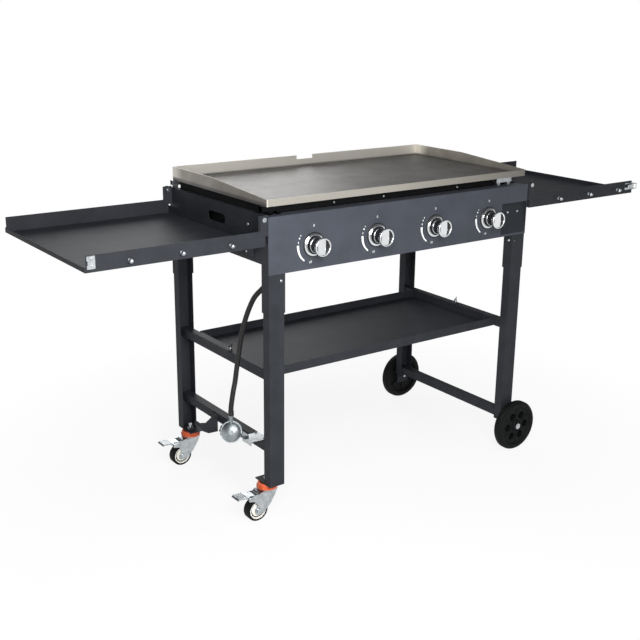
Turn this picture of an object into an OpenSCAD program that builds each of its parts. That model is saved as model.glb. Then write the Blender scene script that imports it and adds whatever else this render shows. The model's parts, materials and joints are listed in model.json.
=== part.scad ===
// Flat-top gas grill on a wheeled cart, with two shelves that fold over the griddle.
// X runs across the cart, Y towards its back and Z up from the floor, in millimetres.

/* [Griddle] */
// Distance of the griddle's sides inside the end panels' outer faces
griddle_side = 3; // [1:0.5:12]
// Distance of the griddle's front edge behind the front sleeves' faces
griddle_front = 9.8; // [8:0.2:16]
// Distance of the griddle's rear edge in front of the rear sleeves' faces
griddle_rear = 12.8; // [11:0.2:18]
// Height of the griddle's underside above the floor
griddle_z = 868; // [864:1:874]
// Thickness of the cooking floor
griddle_floor_t = 5; // [4:0.5:7]
// Thickness of the griddle's walls
griddle_wall_t = 3; // [2:0.5:4]
// Height of the front wall over the underside
griddle_front_h = 18; // [14:1:22]
// Height of the rear and side walls over the underside
griddle_rear_h = 37; // [32:1:42]
// Distance behind the cart's middle at which the side walls reach full height
griddle_slope_y = 30; // [0:1:80]
// Radius of the griddle's upright corners
griddle_corner_r = 4; // [3:0.5:8]
// Width of the notch in the rear wall that lets the folded shelf lips pass
notch_w = 60; // [40:1:90]
// Length of the drain slot beside the rear wall
drain_l = 40; // [20:1:60]
// Width of the drain slot
drain_w = 8; // [5:0.5:10]
// Length of the channels that carry the griddle
post_l = 61; // [50:1:70]
// Depth of the channels that carry the griddle
post_d = 16; // [12:1:20]
// Height of the channels that carry the griddle
post_h = 14; // [10:1:16]
// Sheet thickness of the channels that carry the griddle
post_t = 1.5; // [1:0.1:2]

/* [Body] */
// Width over the outer faces of the end panels
frame_w = 920; // [916:1:940]
// Depth over the front and rear leg sleeves
frame_d = 517.6; // [514:0.2:530]
// Sheet thickness of the end panels, the control panel and the firebox
sheet_t = 1.2; // [1:0.1:1.5]
// Height of the end panels' lower edges
end_z = 718; // [700:1:722]
// Height of the end panels' upper edges
end_top = 845; // [843:1:848]
// Width of the oval hand hole in each end panel
hand_hole_w = 90; // [60:1:120]
// Height of the oval hand hole
hand_hole_h = 26; // [18:1:32]
// Height of the hand hole's middle
hand_hole_z = 803; // [796:1:808]
// Height of the control panel's face
panel_h = 149; // [140:1:156]
// Depth of the flange on top of the control panel
panel_flange = 37; // [32:1:40]
// Height of the panel's top below the end panels' upper edges
panel_drop = 1; // [0.5:0.5:2]
// Width of the sloped pocket at the right end of the control panel
pocket_w = 100; // [70:1:105]
// Depth of the pocket at its top
pocket_d = 8; // [4:0.5:12]
// Height of the pocket
pocket_h = 91; // [70:1:100]
// Distance of the firebox's sides inside the end panels' outer faces
firebox_side = 15; // [14:0.5:20]
// Distance of the firebox's front behind the front sleeves' faces
firebox_front = 53.8; // [53:0.2:60]
// Height of the firebox
firebox_h = 142; // [138:1:143]

/* [Gas] */
// Distance of the first knob's axis from the control panel's left end
knob_first = 139; // [130:1:150]
// Distance of the last knob's axis from the control panel's right end
knob_last = 157; // [150:1:165]
// Height of the knob axes
knob_z = 759; // [752:1:764]
// Radius of the knob's barrel
knob_r = 22; // [18:0.5:22]
// Distance of the knob's cap from the control panel
knob_reach = 44; // [38:1:48]
// Outer radius of the bezel round each knob
bezel_r = 33; // [30:0.5:36]
// Travel of a knob when it is pushed in
push_travel = 3; // [2:0.5:3.5]
// Radius of the stem that carries a knob
stem_r = 4; // [3:0.5:5]
// Height of the valve plunger's collar round the stem
plunger_wall = 1.9; // [1.5:0.1:2.5]
// Radius of a valve body
valve_r = 11; // [9:0.5:13]
// Length of a valve body
valve_l = 28; // [26:1:32]
// Outer radius of a burner tube
burner_r = 19; // [15:0.5:22]
// Wall of a burner tube
burner_wall = 1.5; // [1:0.1:2]
// Distance of the burners' closed ends in front of the firebox's rear wall
burner_short = 32; // [26:1:44]
// Outer radius of the gas manifold
manifold_r = 9.5; // [8:0.5:9.5]
// Distance of the manifold's axis behind the front sleeves' faces
manifold_in = 18.8; // [17:0.2:20]
// Radius of the hose
hose_r = 7; // [6:0.5:8]
// Radius of the regulator's housing
regulator_r = 30; // [26:1:32]
// Radius of the regulator's hand nut
hand_nut_r = 22; // [18:0.5:24]

/* [Cart] */
// Width of a leg sleeve
sleeve_w = 50; // [49:1:56]
// Depth of a leg sleeve
sleeve_d = 34; // [33:0.5:35]
// Sheet thickness of sleeves and legs
leg_t = 1.5; // [1.2:0.1:2]
// Length of a leg sleeve
sleeve_l = 250; // [220:1:270]
// Width of a leg
leg_w = 46; // [43:0.5:46]
// Depth of a leg
leg_d = 29; // [27:0.5:34]
// Length of leg inside its sleeve
leg_overlap = 102; // [90:1:108]
// Height of the right legs' lower ends
right_leg_z = 96; // [90:1:102]
// Width of the square tubes between the legs
tube_w = 25; // [22:1:27]
// Wall of the square tubes
tube_wall = 1.5; // [1.2:0.1:2]
// Distance of the square tubes' outer faces inside the legs' outer faces
tube_in = 16.8; // [11:0.2:18]
// Height of the tray rails' tops
rail_top = 421; // [380:1:460]
// Height of the left crossbar's top
left_bar_top = 214.5; // [200:0.5:240]
// Height of the right crossbar's top
right_bar_top = 128; // [120:1:140]
// Distance of the lower tray's front behind the front sleeves' faces
tray_in_front = 54.8; // [45:0.2:70]
// Distance of the lower tray's rear in front of the rear sleeves' faces
tray_in_rear = 72.8; // [60:0.2:85]
// Height of the lower tray's walls
tray_h = 25; // [20:1:32]
// Sheet thickness of the lower tray
tray_t = 1.2; // [1:0.1:1.5]
// Width of the grease cup
cup_w = 90; // [70:1:110]
// Depth of the grease cup
cup_d = 46; // [40:1:50]
// Height of the grease cup
cup_h = 56; // [40:1:60]

/* [Shelves] */
// Distance of the shelf pivots outside the end panels
pivot_out = 14; // [14:0.5:18]
// Height of the shelf pivots
pivot_z = 840; // [837:0.5:842]
// Sheet thickness of the shelves
shelf_t = 1.2; // [1:0.1:1.5]
// Height of the shelves' front and rear flanges
shelf_flange = 40; // [34:1:42]
// Height of the shelves' flanges beside the cart
shelf_inner = 23; // [16:1:25]
// Height of the shelves' outer lips
shelf_lip = 12; // [8:0.5:13]
// Clearance of a folded shelf over the griddle's rear wall
fold_clear = 1.8; // [1.5:0.1:3]
// Gap between the two folded shelves
fold_gap = 2; // [1:0.5:6]
// Width of the straps that hold the shelves on their pivots
ear_w = 22; // [18:1:22]
// Radius of the pivot bolts
pivot_r = 3; // [2.5:0.5:4]
// Distance of the first left peg from the shelf's pivot
left_peg_first = 97; // [76:1:116]
// Distance of the last left peg from the shelf's outer edge
left_peg_last = 108; // [80:1:140]
// Distance of the first right peg from the shelf's pivot
right_peg_first = 121; // [86:1:126]
// Distance of the last right peg from the shelf's outer edge
right_peg_last = 76; // [66:1:110]
// Length of a tool peg
peg_l = 18; // [14:1:24]
// Radius of a tool peg's head
peg_head_r = 6; // [4:0.5:8]
// Height of the latch over the shelf's underside
latch_up = 23; // [20:0.5:24]

/* [Wheels] */
// Radius of the two big wheels
wheel_r = 79; // [70:1:84]
// Width of a big wheel
wheel_w = 28; // [24:1:34]
// Distance of the big wheels' axles outside the middles of the legs
wheel_shift = 18.2; // [12:0.2:24]
// Radius of the big wheels' axles
axle_r = 4; // [3:0.5:5]
// Number of recesses round a big wheel's hub
wheel_holes = 6; // [5:1:8]
// Radius of a caster wheel
caster_r = 32; // [28:1:33]
// Width of a caster's tyre
caster_w = 29; // [24:1:30]
// Distance of a caster's axle behind its stem
caster_trail = 37; // [34:1:38]
// Distance of the left legs' foot plates over the caster tyres
caster_over = 40.6; // [39:0.2:44]
// Distance of the caster stems outside the middles of the legs, across
caster_shift = 5.8; // [2:0.2:8]
// Distance of the caster stems inside the legs' outer faces, in depth
caster_in = 42.3; // [38:0.1:47]
// Angle through which a brake pedal is pressed
brake_press = 15; // [8:1:15]

/* [Hidden] */
$fn = 48;
coat = [0.2, 0.21, 0.22];
panel_coat = [0.27, 0.28, 0.3];
plate_steel = [0.52, 0.5, 0.47];
zinc = [0.72, 0.73, 0.74];
chrome = [0.85, 0.86, 0.87];
black_plastic = [0.07, 0.07, 0.08];
rubber = [0.05, 0.05, 0.05];
cream = [0.88, 0.86, 0.8];
orange = [0.85, 0.38, 0.2];

// Clearances
run_fit = 0.05;
face_gap = 0.3;
side_gap = 0.8;
sheet_gap = 1;

// Planes of the body
hx = frame_w / 2;
hy = frame_d / 2;
ix = hx - sheet_t;
panel_y = -hy - sheet_t;
panel_top = end_top - panel_drop;
panel_z = panel_top - panel_h;
griddle_x = hx - griddle_side;
g_x = [-griddle_x, griddle_x];
g_front = -hy + griddle_front;
g_rear = hy - griddle_rear;
g_top_front = griddle_z + griddle_front_h;
g_top_rear = griddle_z + griddle_rear_h;
fire_z = griddle_z - 4 - firebox_h;
fire_top = fire_z + firebox_h;
fire_rear = hy - sleeve_d - 2.8;
fire_front = -hy + firebox_front;
fire_x = hx - firebox_side;
air_slot_pitch = 110;
air_slot_l = 60;
cup_z = griddle_z - 18 - cup_h;

// Ends, legs and tubes
end_flange = 12;
sleeve_top = end_top - 5;
sleeve_z = sleeve_top - sleeve_l;
leg_x = ix - sleeve_w / 2;
leg_out = hy - leg_t;
leg_top = sleeve_z + leg_overlap;
bar_end = leg_out - leg_t;
tube_x = leg_x + leg_w / 2 - tube_in;
tray_x = tube_x - tube_w - sheet_gap;
tray_front = -hy + tray_in_front;
tray_rear = hy - tray_in_rear;
tray_z = rail_top + tray_t - tray_h + 1;
wing_x = tube_x - tube_w / 2;
wing_y = -10;
wing_stud_r = 3;
caster_h = 2 * caster_r + caster_over;
foot_t = 3;
foot_d = 75;
caster_x = leg_x + caster_shift;
caster_y = leg_out - caster_in;
wheel_x = leg_x + wheel_shift;
wheel_plate_z = wheel_r - 19;
wheel_plate_top = right_leg_z + 46;

// Shelves at rest and folded
pivot_x = hx + pivot_out;
shelf_in = pivot_x - 4;
shelf_out = 2 * pivot_x - fold_gap / 2;
shelf_z = 2 * pivot_z - shelf_t - g_top_rear - fold_clear;
shelf_top = shelf_z + shelf_flange;
shelf_front = -panel_y + side_gap;
shelf_rear = g_rear + 2.8;
rear_lug = shelf_rear - side_gap;
ear_r = ear_w / 2;
ear_z = shelf_top - 14;
bolt_head_r = 6;
bolt_head_h = 3;
lug_w = 28;
notch_z = 2 * pivot_z - shelf_z - shelf_lip - 3;
ledge_l = 40;
ledge_w = 40;
ledge_top = shelf_z - 0.4;
ledge_t = 1.5;
bracket_y = hy - 88.8;
bracket_drop = 48;
gusset_drop = 40;
peg_z = 17;
peg_r = 2.5;

// Latch between the folded shelves, on the front flanges
latch_z = shelf_z + latch_up;
latch_pin_x = shelf_out - 1;
latch_pin_y = shelf_front + shelf_t + 4;
latch_pin_r = 1.5;
latch_hub_r = 2.5;
latch_plate_t = 1.2;
latch_h = 21;
latch_l = 36;
lever_w = 12;
lever_l = 34;
loop_back = 10;
loop_rise = 4.2;
loop_r = 1.3;
loop_half = 7.5;
loop_l = 22;
loop_x = latch_pin_x - loop_back;
loop_y = latch_pin_y + loop_rise;
loop_reach = loop_x + loop_l + loop_r;
keeper_w = 20;
keeper_h = 30;
keeper_hook = 10;
keeper_bar = 11;

// Knobs and valves
knob_pitch = (2 * hx - knob_first - knob_last) / 3;
knob_x = [for (i = [0:3]) knob_first - hx + i * knob_pitch];
stem_hole_r = stem_r + 1;
stem_in = 20;
plunger_out = stem_r + plunger_wall;
valve_bore = plunger_out + run_fit;
valve_front = -hy + 6.8;
valve_rear = valve_front + valve_l;
valve_depth = 18;
plunger_front = valve_front + 4;
plunger_rear = valve_front + valve_depth - push_travel - 1;
knob_back = panel_y - push_travel - 1.5;
knob_face = panel_y - knob_reach;
cap_h = 6;
bezel_h = 7;
bezel_in = knob_r + 1.5;
manifold_y = -hy + manifold_in;
manifold_z = fire_z - manifold_r - 0.5;
manifold_right = knob_x[3] + 93;
elbow_r = 8;
burner_front = fire_front - 7;
burner_rear = fire_rear - burner_short;
igniter_y = burner_front + 36;
igniter_r = 3;
port_y = burner_front + 62;
port_pitch = 24;
port_w = 3;
port_l = 14;
tail_r = 2;
spud_r = 5;

// Regulator: its housing faces forwards, outwards and a little up
regulator_out = 46;
regulator_in = 150.8;
regulator_over = 8.5;
regulator_c = [-tube_x - regulator_out, -hy + regulator_in, left_bar_top + regulator_over];
regulator_turn = -36;
regulator_tilt = -17;
nut_shift = -14;
nut_front = 24;
nut_l = 26;
neck_r = 9;
ferrule_r = 4.5;
ferrule_collar = 3;
ferrule_rise = 48;

// Route of the hose from the manifold's elbow down to the regulator
hose_route = [
    [-402, -216, 686], [-408, -199, 668], [-414, -182, 650], [-421, -164, 631],
    [-428, -142, 607], [-434, -128, 579], [-440, -118, 549], [-446, -112, 519],
    [-451, -108, 490], [-455, -106, 461], [-459, -104, 430], [-463, -102, 398],
    [-468, -102, 366], [-476, -105, 340], [-482, -107, 315], [-486, -108, 293],
    [-486, -108, 271]
];
hose_sides = 10;
hose_start = hose_route[0];
manifold_end = hose_start[0] + 6;

// Wheels
plate_y = leg_out + 4;
wheel_in = plate_y + 3;
wheel_out = wheel_in + wheel_w;
axle_head = 4;
rim_r = wheel_r - 13;
hub_wheel_r = 16;
web_in = 4;
hole_ring_r = (rim_r - 8 + hub_wheel_r) / 2;
fork_top = caster_h - 16.6;
fork_t = 3;
cheek_in = caster_w / 2 + 1;
cheek_t = 2.5;
caster_hub_r = caster_r - 7;
caster_axle_r = 4;
stem_rod_r = 5;
stem_top = caster_h + 22.4;
race_r = 20;
stem_foot = 9;
stem_hex_r = 11;
stem_nut_r = 9.5;
stem_nut_h = 8;
ring_r = 29;
ring_h = 15.2;
ring_in = race_r + 0.1;
pedal_x = -48;
pedal_z = fork_top - 14;
pedal_pin_r = 2.5;
shoe_z = 2 * caster_r + 0.2 * brake_press - 4.5;

// Reach of the whole part, which sets the middle of its base
front_reach = max(-knob_face, wheel_out + face_gap + axle_head);
rear_reach = wheel_out + face_gap + axle_head;
mid_x = (shelf_out - loop_reach) / 2;
mid_y = (front_reach - rear_reach) / 2;

// Moves the cart so that the middle of its base is the origin
module place() translate([mid_x, mid_y, 0]) children();

// Mirrors what is drawn in the rear right quarter into another quarter
module quarter(sx, sy)
    mirror([sx < 0 ? 1 : 0, 0, 0])
        mirror([0, sy < 0 ? 1 : 0, 0])
            children();

// A box between two values along each axis
module block(x, y, z)
    translate([min(x), min(y), min(z)])
        cube([abs(x[1] - x[0]), abs(y[1] - y[0]), abs(z[1] - z[0])]);

// Round rods along each axis between two values
module rod_x(x, y, z, r) translate([min(x), y, z]) rotate([0, 90, 0]) cylinder(r = r, h = abs(x[1] - x[0]));
module rod_y(x, y, z, r) translate([x, min(y), z]) rotate([-90, 0, 0]) cylinder(r = r, h = abs(y[1] - y[0]));
module rod_z(x, y, z, r) translate([x, y, min(z)]) cylinder(r = r, h = abs(z[1] - z[0]));

// A round rod between two points
module rod_between(a, b, r) {
    d = b - a;
    translate(a)
        rotate([0, acos(d[2] / norm(d)), atan2(d[1], d[0])])
            cylinder(r = r, h = norm(d));
}

// Carries an outline of depth and height across the cart
module across(x) translate([min(x), 0, 0]) rotate([90, 0, 90]) linear_extrude(abs(x[1] - x[0])) children();

// Carries an outline of width and height through the depth
module through(y) translate([0, max(y), 0]) rotate([90, 0, 0]) linear_extrude(abs(y[1] - y[0])) children();

// A rectangle with round corners
module round_rect(x, y, r) {
    translate([x[0] + r, y[0]]) square([x[1] - x[0] - 2 * r, y[1] - y[0]]);
    translate([x[0], y[0] + r]) square([x[1] - x[0], y[1] - y[0] - 2 * r]);
    for (cx = [x[0] + r, x[1] - r])
        for (cy = [y[0] + r, y[1] - r])
            translate([cx, cy]) circle(r);
}

// A slot with round ends, longer than it is high
module slot(x, y) {
    r = (y[1] - y[0]) / 2;
    translate([x[0] + r, y[0]]) square([x[1] - x[0] - 2 * r, y[1] - y[0]]);
    for (cx = [x[0] + r, x[1] - r])
        translate([cx, y[0] + r]) circle(r);
}

// A screw: its place, the turn that points its head outwards, and its sizes
head_up = [0, 0, 0];
head_out = [90, 0, 0];
head_left = [0, -90, 0];
head_right = [0, 90, 0];
head_back = [-90, 0, 0];
screw_r = 2;
screw_l = 5;
screw_head_h = 2.2;
screw_head_r = 4;
small_head_r = 3.5;
bolt_head = 5;
module screws(list, r = screw_head_r)
    for (s = list)
        translate(s[0]) rotate(s[1]) {
            cylinder(r = r, h = screw_head_h);
            translate([0, 0, -screw_l]) cylinder(r = screw_r, h = screw_l + 1);
        }
module screw_holes(list)
    for (s = list)
        translate(s[0]) rotate(s[1]) translate([0, 0, -screw_l - 2])
            cylinder(r = screw_r + 0.1, h = 2 * screw_l);

// Screws of the body, where the sheets have their holes
firebox_screw_x = [knob_x[0] - 79, knob_x[0] + knob_pitch / 2, knob_x[1] + 65, knob_x[3] - 78];
firebox_screws = [for (x = firebox_screw_x) [[x, fire_front, griddle_z - 19], head_out]];
pocket_x = [hx - 2 - pocket_w, hx - 2];
pocket_z = panel_top - 51 - pocket_h;
pocket_top = pocket_z + pocket_h;
pocket_back = panel_y + pocket_d + sheet_t;
pocket_screw_z = 0.7 * pocket_h + pocket_z;
pocket_screw_y = panel_y + pocket_d * (0.7 - small_head_r / pocket_h);
pocket_screws = [for (x = [pocket_x[0] + 28.5, pocket_x[0] + 69])
    [[x, pocket_screw_y, pocket_screw_z], head_out]];
tab_y = [fire_front + 41, fire_rear - 92];
tab_w = 40;
tab_z = end_top - 45;
tab_h = 20;
end_screw_z = tab_z + 11;
end_screws = [for (s = [-1, 1]) [[s * hx, tab_y[0], end_screw_z], s < 0 ? head_left : head_right]];
sleeve_hole_x = leg_x - 13;
sleeve_screw_z = leg_top - 15.5;
sleeve_spare_z = sleeve_screw_z - 50;
spare_r = 3;
flank_screw_y = 14;
left_sleeve_screws = [for (s = [-1, 1])
    [[-sleeve_hole_x, s * hy, sleeve_screw_z], s < 0 ? head_out : head_back]];
right_sleeve_screws = [for (s = [-1, 1])
    [[leg_x - sleeve_w / 2, s * (hy - flank_screw_y), sleeve_screw_z], head_left]];
bracket_screw_d = [-12.5, 12.5];
bracket_screw_z = shelf_z - 32;
bracket_screws = [for (sx = [-1, 1]) for (sy = [-1, 1]) for (d = bracket_screw_d)
    [[sx * (hx + ledge_t), sy * bracket_y + d, bracket_screw_z], sx < 0 ? head_left : head_right]];
plate_bolt_x = leg_x + 12;
plate_bolts = [for (s = [-1, 1]) for (rise = [10, 36])
    [[plate_bolt_x, s * plate_y, right_leg_z + rise], s < 0 ? head_out : head_back]];
hanger_y = regulator_c[1] - 55;
hanger_half = 22;
hanger_out = -tube_x - 34;
hanger_top = left_bar_top + ledge_t;
hanger_screws = [for (s = [-1, 1])
    [[tube_w / 2 - tube_x, hanger_y + s * hanger_half, hanger_top], head_up]];

// Griddle: a floor with a low front wall, tall rear wall and sides that slope between them
module griddle_plate() place() color(plate_steel) difference() {
    intersection() {
        union() {
            block(g_x, [g_front, g_rear], [griddle_z, griddle_z + griddle_floor_t]);
            block(g_x, [g_front, g_front + griddle_wall_t], [griddle_z, g_top_front]);
            block(g_x, [g_rear - griddle_wall_t, g_rear], [griddle_z, g_top_rear]);
            for (s = [-1, 1])
                across([s * griddle_x, s * (griddle_x - griddle_wall_t)])
                    polygon([[g_front, griddle_z], [g_rear, griddle_z], [g_rear, g_top_rear],
                        [griddle_slope_y, g_top_rear], [g_front, g_top_front]]);
        }
        translate([0, 0, griddle_z]) linear_extrude(griddle_rear_h)
            round_rect(g_x, [g_front, g_rear], griddle_corner_r);
    }
    block([-notch_w / 2, notch_w / 2], [g_rear - 2 * griddle_wall_t, g_rear + 1], [notch_z, g_top_rear + 1]);
    translate([0, 0, griddle_z - 1]) linear_extrude(griddle_floor_t + 2)
        slot([-drain_l / 2, drain_l / 2], [g_rear - 6 - drain_w, g_rear - 6]);
}

// A channel that carries the griddle, with a foot at each end of its own span
module post(x, y, foot_x, foot_z) {
    top = griddle_z;
    difference() {
        block(x, y, [top - post_h, top]);
        block([x[0] - 1, x[1] + 1], [y[0] + post_t, y[1] - post_t], [top - post_h + post_t, top - post_t]);
    }
    for (f = foot_x)
        block([f[0], f[1]], [y[0] + post_t, y[1] - post_t], [foot_z, top - post_h]);
}
module griddle_posts() place() color(zinc) {
    front = [-hy + 35.8 - post_d, -hy + 35.8];
    right_x = pocket_x[0] - 9;
    left_end = -hx - 5;
    post([right_x, right_x + post_l], front,
        [[right_x + 4, right_x + 16], [right_x + post_l - 16, right_x + post_l - 4]], panel_top);
    post([left_end, left_end + post_l], front,
        [[left_end + 21, left_end + 33], [left_end + post_l - 16, left_end + post_l - 4]], panel_top);
    for (s = [-1, 1])
        post([s < 0 ? left_end : -left_end - post_l, s < 0 ? left_end + post_l : -left_end],
            [hy - 30, hy - 30 + post_d],
            [[s < 0 ? -ix : ix - end_flange + 0.5, s < 0 ? -ix + end_flange - 0.5 : ix]], end_top);
}

// Firebox: an open sheet tray with burner holes, air slots and welded side tabs
module firebox() place() color(coat) difference() {
    union() {
        difference() {
            block([-fire_x, fire_x], [fire_front, fire_rear], [fire_z, fire_top]);
            block([sheet_t - fire_x, fire_x - sheet_t], [fire_front + sheet_t, fire_rear - sheet_t],
                [fire_z + sheet_t, fire_top + 1]);
        }
        for (sx = [-1, 1])
            for (y = tab_y) {
                block([sx * fire_x, sx * ix], [y - tab_w / 2, y + tab_w / 2], [tab_z, tab_z + sheet_t]);
                block([sx * (ix - sheet_t), sx * ix], [y - tab_w / 2, y + tab_w / 2], [tab_z, tab_z + tab_h]);
            }
        for (x = [-cup_w / 3, cup_w / 3]) {
            strip = [x - 6, x + 6];
            block(strip, [fire_rear, fire_rear + cup_d], [cup_z - face_gap - leg_t, cup_z - face_gap]);
            block(strip, [fire_rear, fire_rear + leg_t], [cup_z - face_gap - 16, cup_z - face_gap]);
        }
    }
    for (x = knob_x) {
        rod_y(x, [fire_front - 1, fire_front + sheet_t + 1], knob_z, burner_r + face_gap);
        rod_y(x, [fire_rear - sheet_t - 1, fire_rear + 1], knob_z, tail_r + run_fit);
    }
    for (i = [-3:3])
        block([i * air_slot_pitch - air_slot_l / 2, i * air_slot_pitch + air_slot_l / 2],
            [fire_rear - sheet_t - 1, fire_rear + 1], [fire_z + 22, fire_z + 28]);
    screw_holes(firebox_screws);
    screw_holes(end_screws);
}

// Control panel: a face sheet with top and bottom flanges, four stem holes and a sloped pocket
module control_panel() place() color(panel_coat) difference() {
    union() {
        difference() {
            block([-hx, hx], [panel_y, -hy], [panel_z, panel_top]);
            block(pocket_x, [panel_y - 1, -hy + 1], [pocket_z, pocket_top]);
        }
        block([-ix + face_gap, ix - face_gap], [-hy, -hy + panel_flange], [panel_top - sheet_t, panel_top]);
        block([-leg_x + sleeve_w / 2 + sheet_gap, leg_x - sleeve_w / 2 - sheet_gap],
            [-hy, -hy + 12], [panel_z, panel_z + sheet_t]);
        across(pocket_x)
            polygon([[panel_y, pocket_z], [-hy, pocket_z], [pocket_back, pocket_top],
                [pocket_back - sheet_t, pocket_top]]);
        block(pocket_x, [-hy, pocket_back], [pocket_top, pocket_top + sheet_t]);
        across([pocket_x[0] - sheet_t, pocket_x[0]])
            polygon([[-hy, pocket_z], [pocket_back, pocket_top], [pocket_back, pocket_top + sheet_t],
                [-hy, pocket_top + sheet_t]]);
    }
    for (x = knob_x)
        rod_y(x, [panel_y - 1, -hy + 1], knob_z, stem_hole_r);
    screw_holes(pocket_screws);
}

// End panel with a hand hole, an inward top flange and two lugs for the shelf pivots
module end_panel() difference() {
    union() {
        block([ix, hx], [-hy, hy], [end_z, end_top]);
        block([ix - end_flange, ix], [-hy + panel_flange + 4, hy], [end_top - sheet_t, end_top]);
        block([hx, hx + lug_w], [-hy, -hy + leg_t], [pivot_z - 40, pivot_z + 10]);
        block([hx, hx + lug_w], [rear_lug - leg_t, rear_lug], [pivot_z - 40, pivot_z + 10]);
    }
    across([ix - 1, hx + 1])
        slot([-5 - hand_hole_w / 2, -5 + hand_hole_w / 2],
            [hand_hole_z - hand_hole_h / 2, hand_hole_z + hand_hole_h / 2]);
    rod_y(pivot_x, [-hy - 1, hy + 1], pivot_z, pivot_r + 0.1);
    for (s = [-1, 1])
        for (d = bracket_screw_d)
            rod_x([ix - 1, hx + 1], s * bracket_y + d, bracket_screw_z, screw_r + 0.1);
    rod_x([ix - 1, hx + 1], tab_y[0], end_screw_z, screw_r + 0.1);
}
module left_end_panel() place() color(coat) quarter(-1, 1) end_panel();
module right_end_panel() place() color(coat) end_panel();

// Burner tubes with port slots, a closed rear end on a tail pin, and an igniter on a strap
module burners() place() color(zinc) for (x = knob_x) {
    difference() {
        union() {
            rod_y(x, [burner_front, burner_rear], knob_z, burner_r);
            rod_y(x, [burner_rear - 1, fire_rear + 2], knob_z, tail_r);
        }
        rod_y(x, [burner_front - 1, burner_rear - 2], knob_z, burner_r - burner_wall);
        for (y = [port_y:port_pitch:burner_rear - 20])
            for (s = [-1, 1])
                translate([x, y, knob_z]) rotate([0, s * 35, 0])
                    block([-port_w / 2, port_w / 2], [0, port_l], [burner_r - burner_wall - 1, burner_r + 1]);
    }
    block([x - 4, x + 4], [igniter_y, igniter_y + 8], [knob_z + burner_r - 1, knob_z + burner_r + 8]);
    rod_y(x, [igniter_y, igniter_y + 26], knob_z + burner_r + 8, igniter_r);
}

// Manifold pipe on two saddles, with an elbow for the hose
module gas_manifold() place() color(zinc) {
    rod_x([manifold_end, manifold_right], manifold_y, manifold_z, manifold_r);
    translate([manifold_end, manifold_y, manifold_z]) sphere(manifold_r + 0.6);
    bend = hose_start - 22 * along(hose_route, 0);
    rod_between([manifold_end, manifold_y, manifold_z], bend, elbow_r);
    translate(bend) sphere(elbow_r + 1);
    rod_between(bend, hose_start, elbow_r);
    for (x = [knob_x[0] + knob_pitch / 2, knob_x[3] - knob_pitch / 2])
        block([x - 8, x + 8], [-hy, manifold_y], [panel_z + sheet_t, manifold_z]);
}

// Valve bodies on the manifold, each with a blind bore in front and a spud behind
module gas_valves() place() color(zinc) for (x = knob_x) difference() {
    union() {
        rod_y(x, [valve_front, valve_rear], knob_z, valve_r);
        rod_y(x, [valve_rear, burner_front + 6], knob_z, spud_r);
        rod_z(x, manifold_y, [manifold_z + manifold_r, knob_z], spud_r);
    }
    rod_y(x, [valve_front - 1, valve_front + valve_depth], knob_z, valve_bore);
}

// Plunger that slides in the valve, with the stem on which the knob turns
module valve_plunger(i) place() color(zinc) {
    rod_y(knob_x[i], [plunger_front, plunger_rear], knob_z, plunger_out);
    rod_y(knob_x[i], [knob_back - stem_in, plunger_rear - 1], knob_z, stem_r);
}
module valve_plunger_1() valve_plunger(0);
module valve_plunger_2() valve_plunger(1);
module valve_plunger_3() valve_plunger(2);
module valve_plunger_4() valve_plunger(3);

// Turns a profile of radius and height about a knob's axis, with height towards the user
module knob_turned(i, y) translate([knob_x[i], y, knob_z]) rotate([90, 0, 0]) rotate_extrude() children();

// Bezels: a sloped outer ring and a taller inner ring
module knob_bezels() place() color(chrome) for (i = [0:3])
    knob_turned(i, panel_y)
        polygon([[bezel_in, 0], [bezel_r, 0], [bezel_r, 1.5], [bezel_r - 5, 3.5],
            [bezel_r - 5.5, bezel_h], [bezel_r - 8, bezel_h], [bezel_in, 3]]);

// Knob: grip barrel with a domed cap, and a blind bore that turns on the plunger's stem
module knob(i) place() color(black_plastic) {
    depth = knob_back - knob_face;
    bore = stem_r + run_fit;
    bore_l = stem_in + face_gap;
    knob_turned(i, knob_back)
        polygon([[bore, 0], [knob_r - 1, 0], [knob_r, 1], [knob_r, 5], [knob_r - 3, 9],
            [knob_r - 4, depth - cap_h - 4], [knob_r + 3, depth - cap_h],
            [knob_r + 3, depth - 3], [knob_r + 1, depth - 1.5], [knob_r - 5, depth - 0.5], [0, depth],
            [0, bore_l], [bore, bore_l]]);
}
module knob_1() knob(0);
module knob_2() knob(1);
module knob_3() knob(2);
module knob_4() knob(3);

// A channel of sheet, open towards the cart's middle, in the rear right quarter
module channel(w, d, y, z)
    difference() {
        block([leg_x - w / 2, leg_x + w / 2], [y - d, y], z);
        block([leg_x - w / 2 + leg_t, leg_x + w / 2 - leg_t], [y - d - 1, y - leg_t], [z[0] - 1, z[1] + 1]);
    }

// Sleeves that hold the legs inside the end panels
module sleeve() difference() {
    channel(sleeve_w, sleeve_d, hy, [sleeve_z, sleeve_top]);
    rod_y(sleeve_hole_x, [hy - 2 * leg_t, hy + 1], sleeve_screw_z, screw_r + 0.1);
    rod_y(sleeve_hole_x, [hy - 2 * leg_t, hy + 1], sleeve_spare_z, spare_r);
}
module left_leg_sleeves() place() color(coat) for (sy = [-1, 1]) quarter(-1, sy) sleeve();
module right_leg_sleeves() place() color(coat) difference() {
    for (sy = [-1, 1])
        quarter(1, sy) sleeve();
    block([pocket_x[0], hx], [-hy - 1, pocket_back + sheet_t], [pocket_z - 1, pocket_top + 3]);
    screw_holes(right_sleeve_screws);
}

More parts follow.
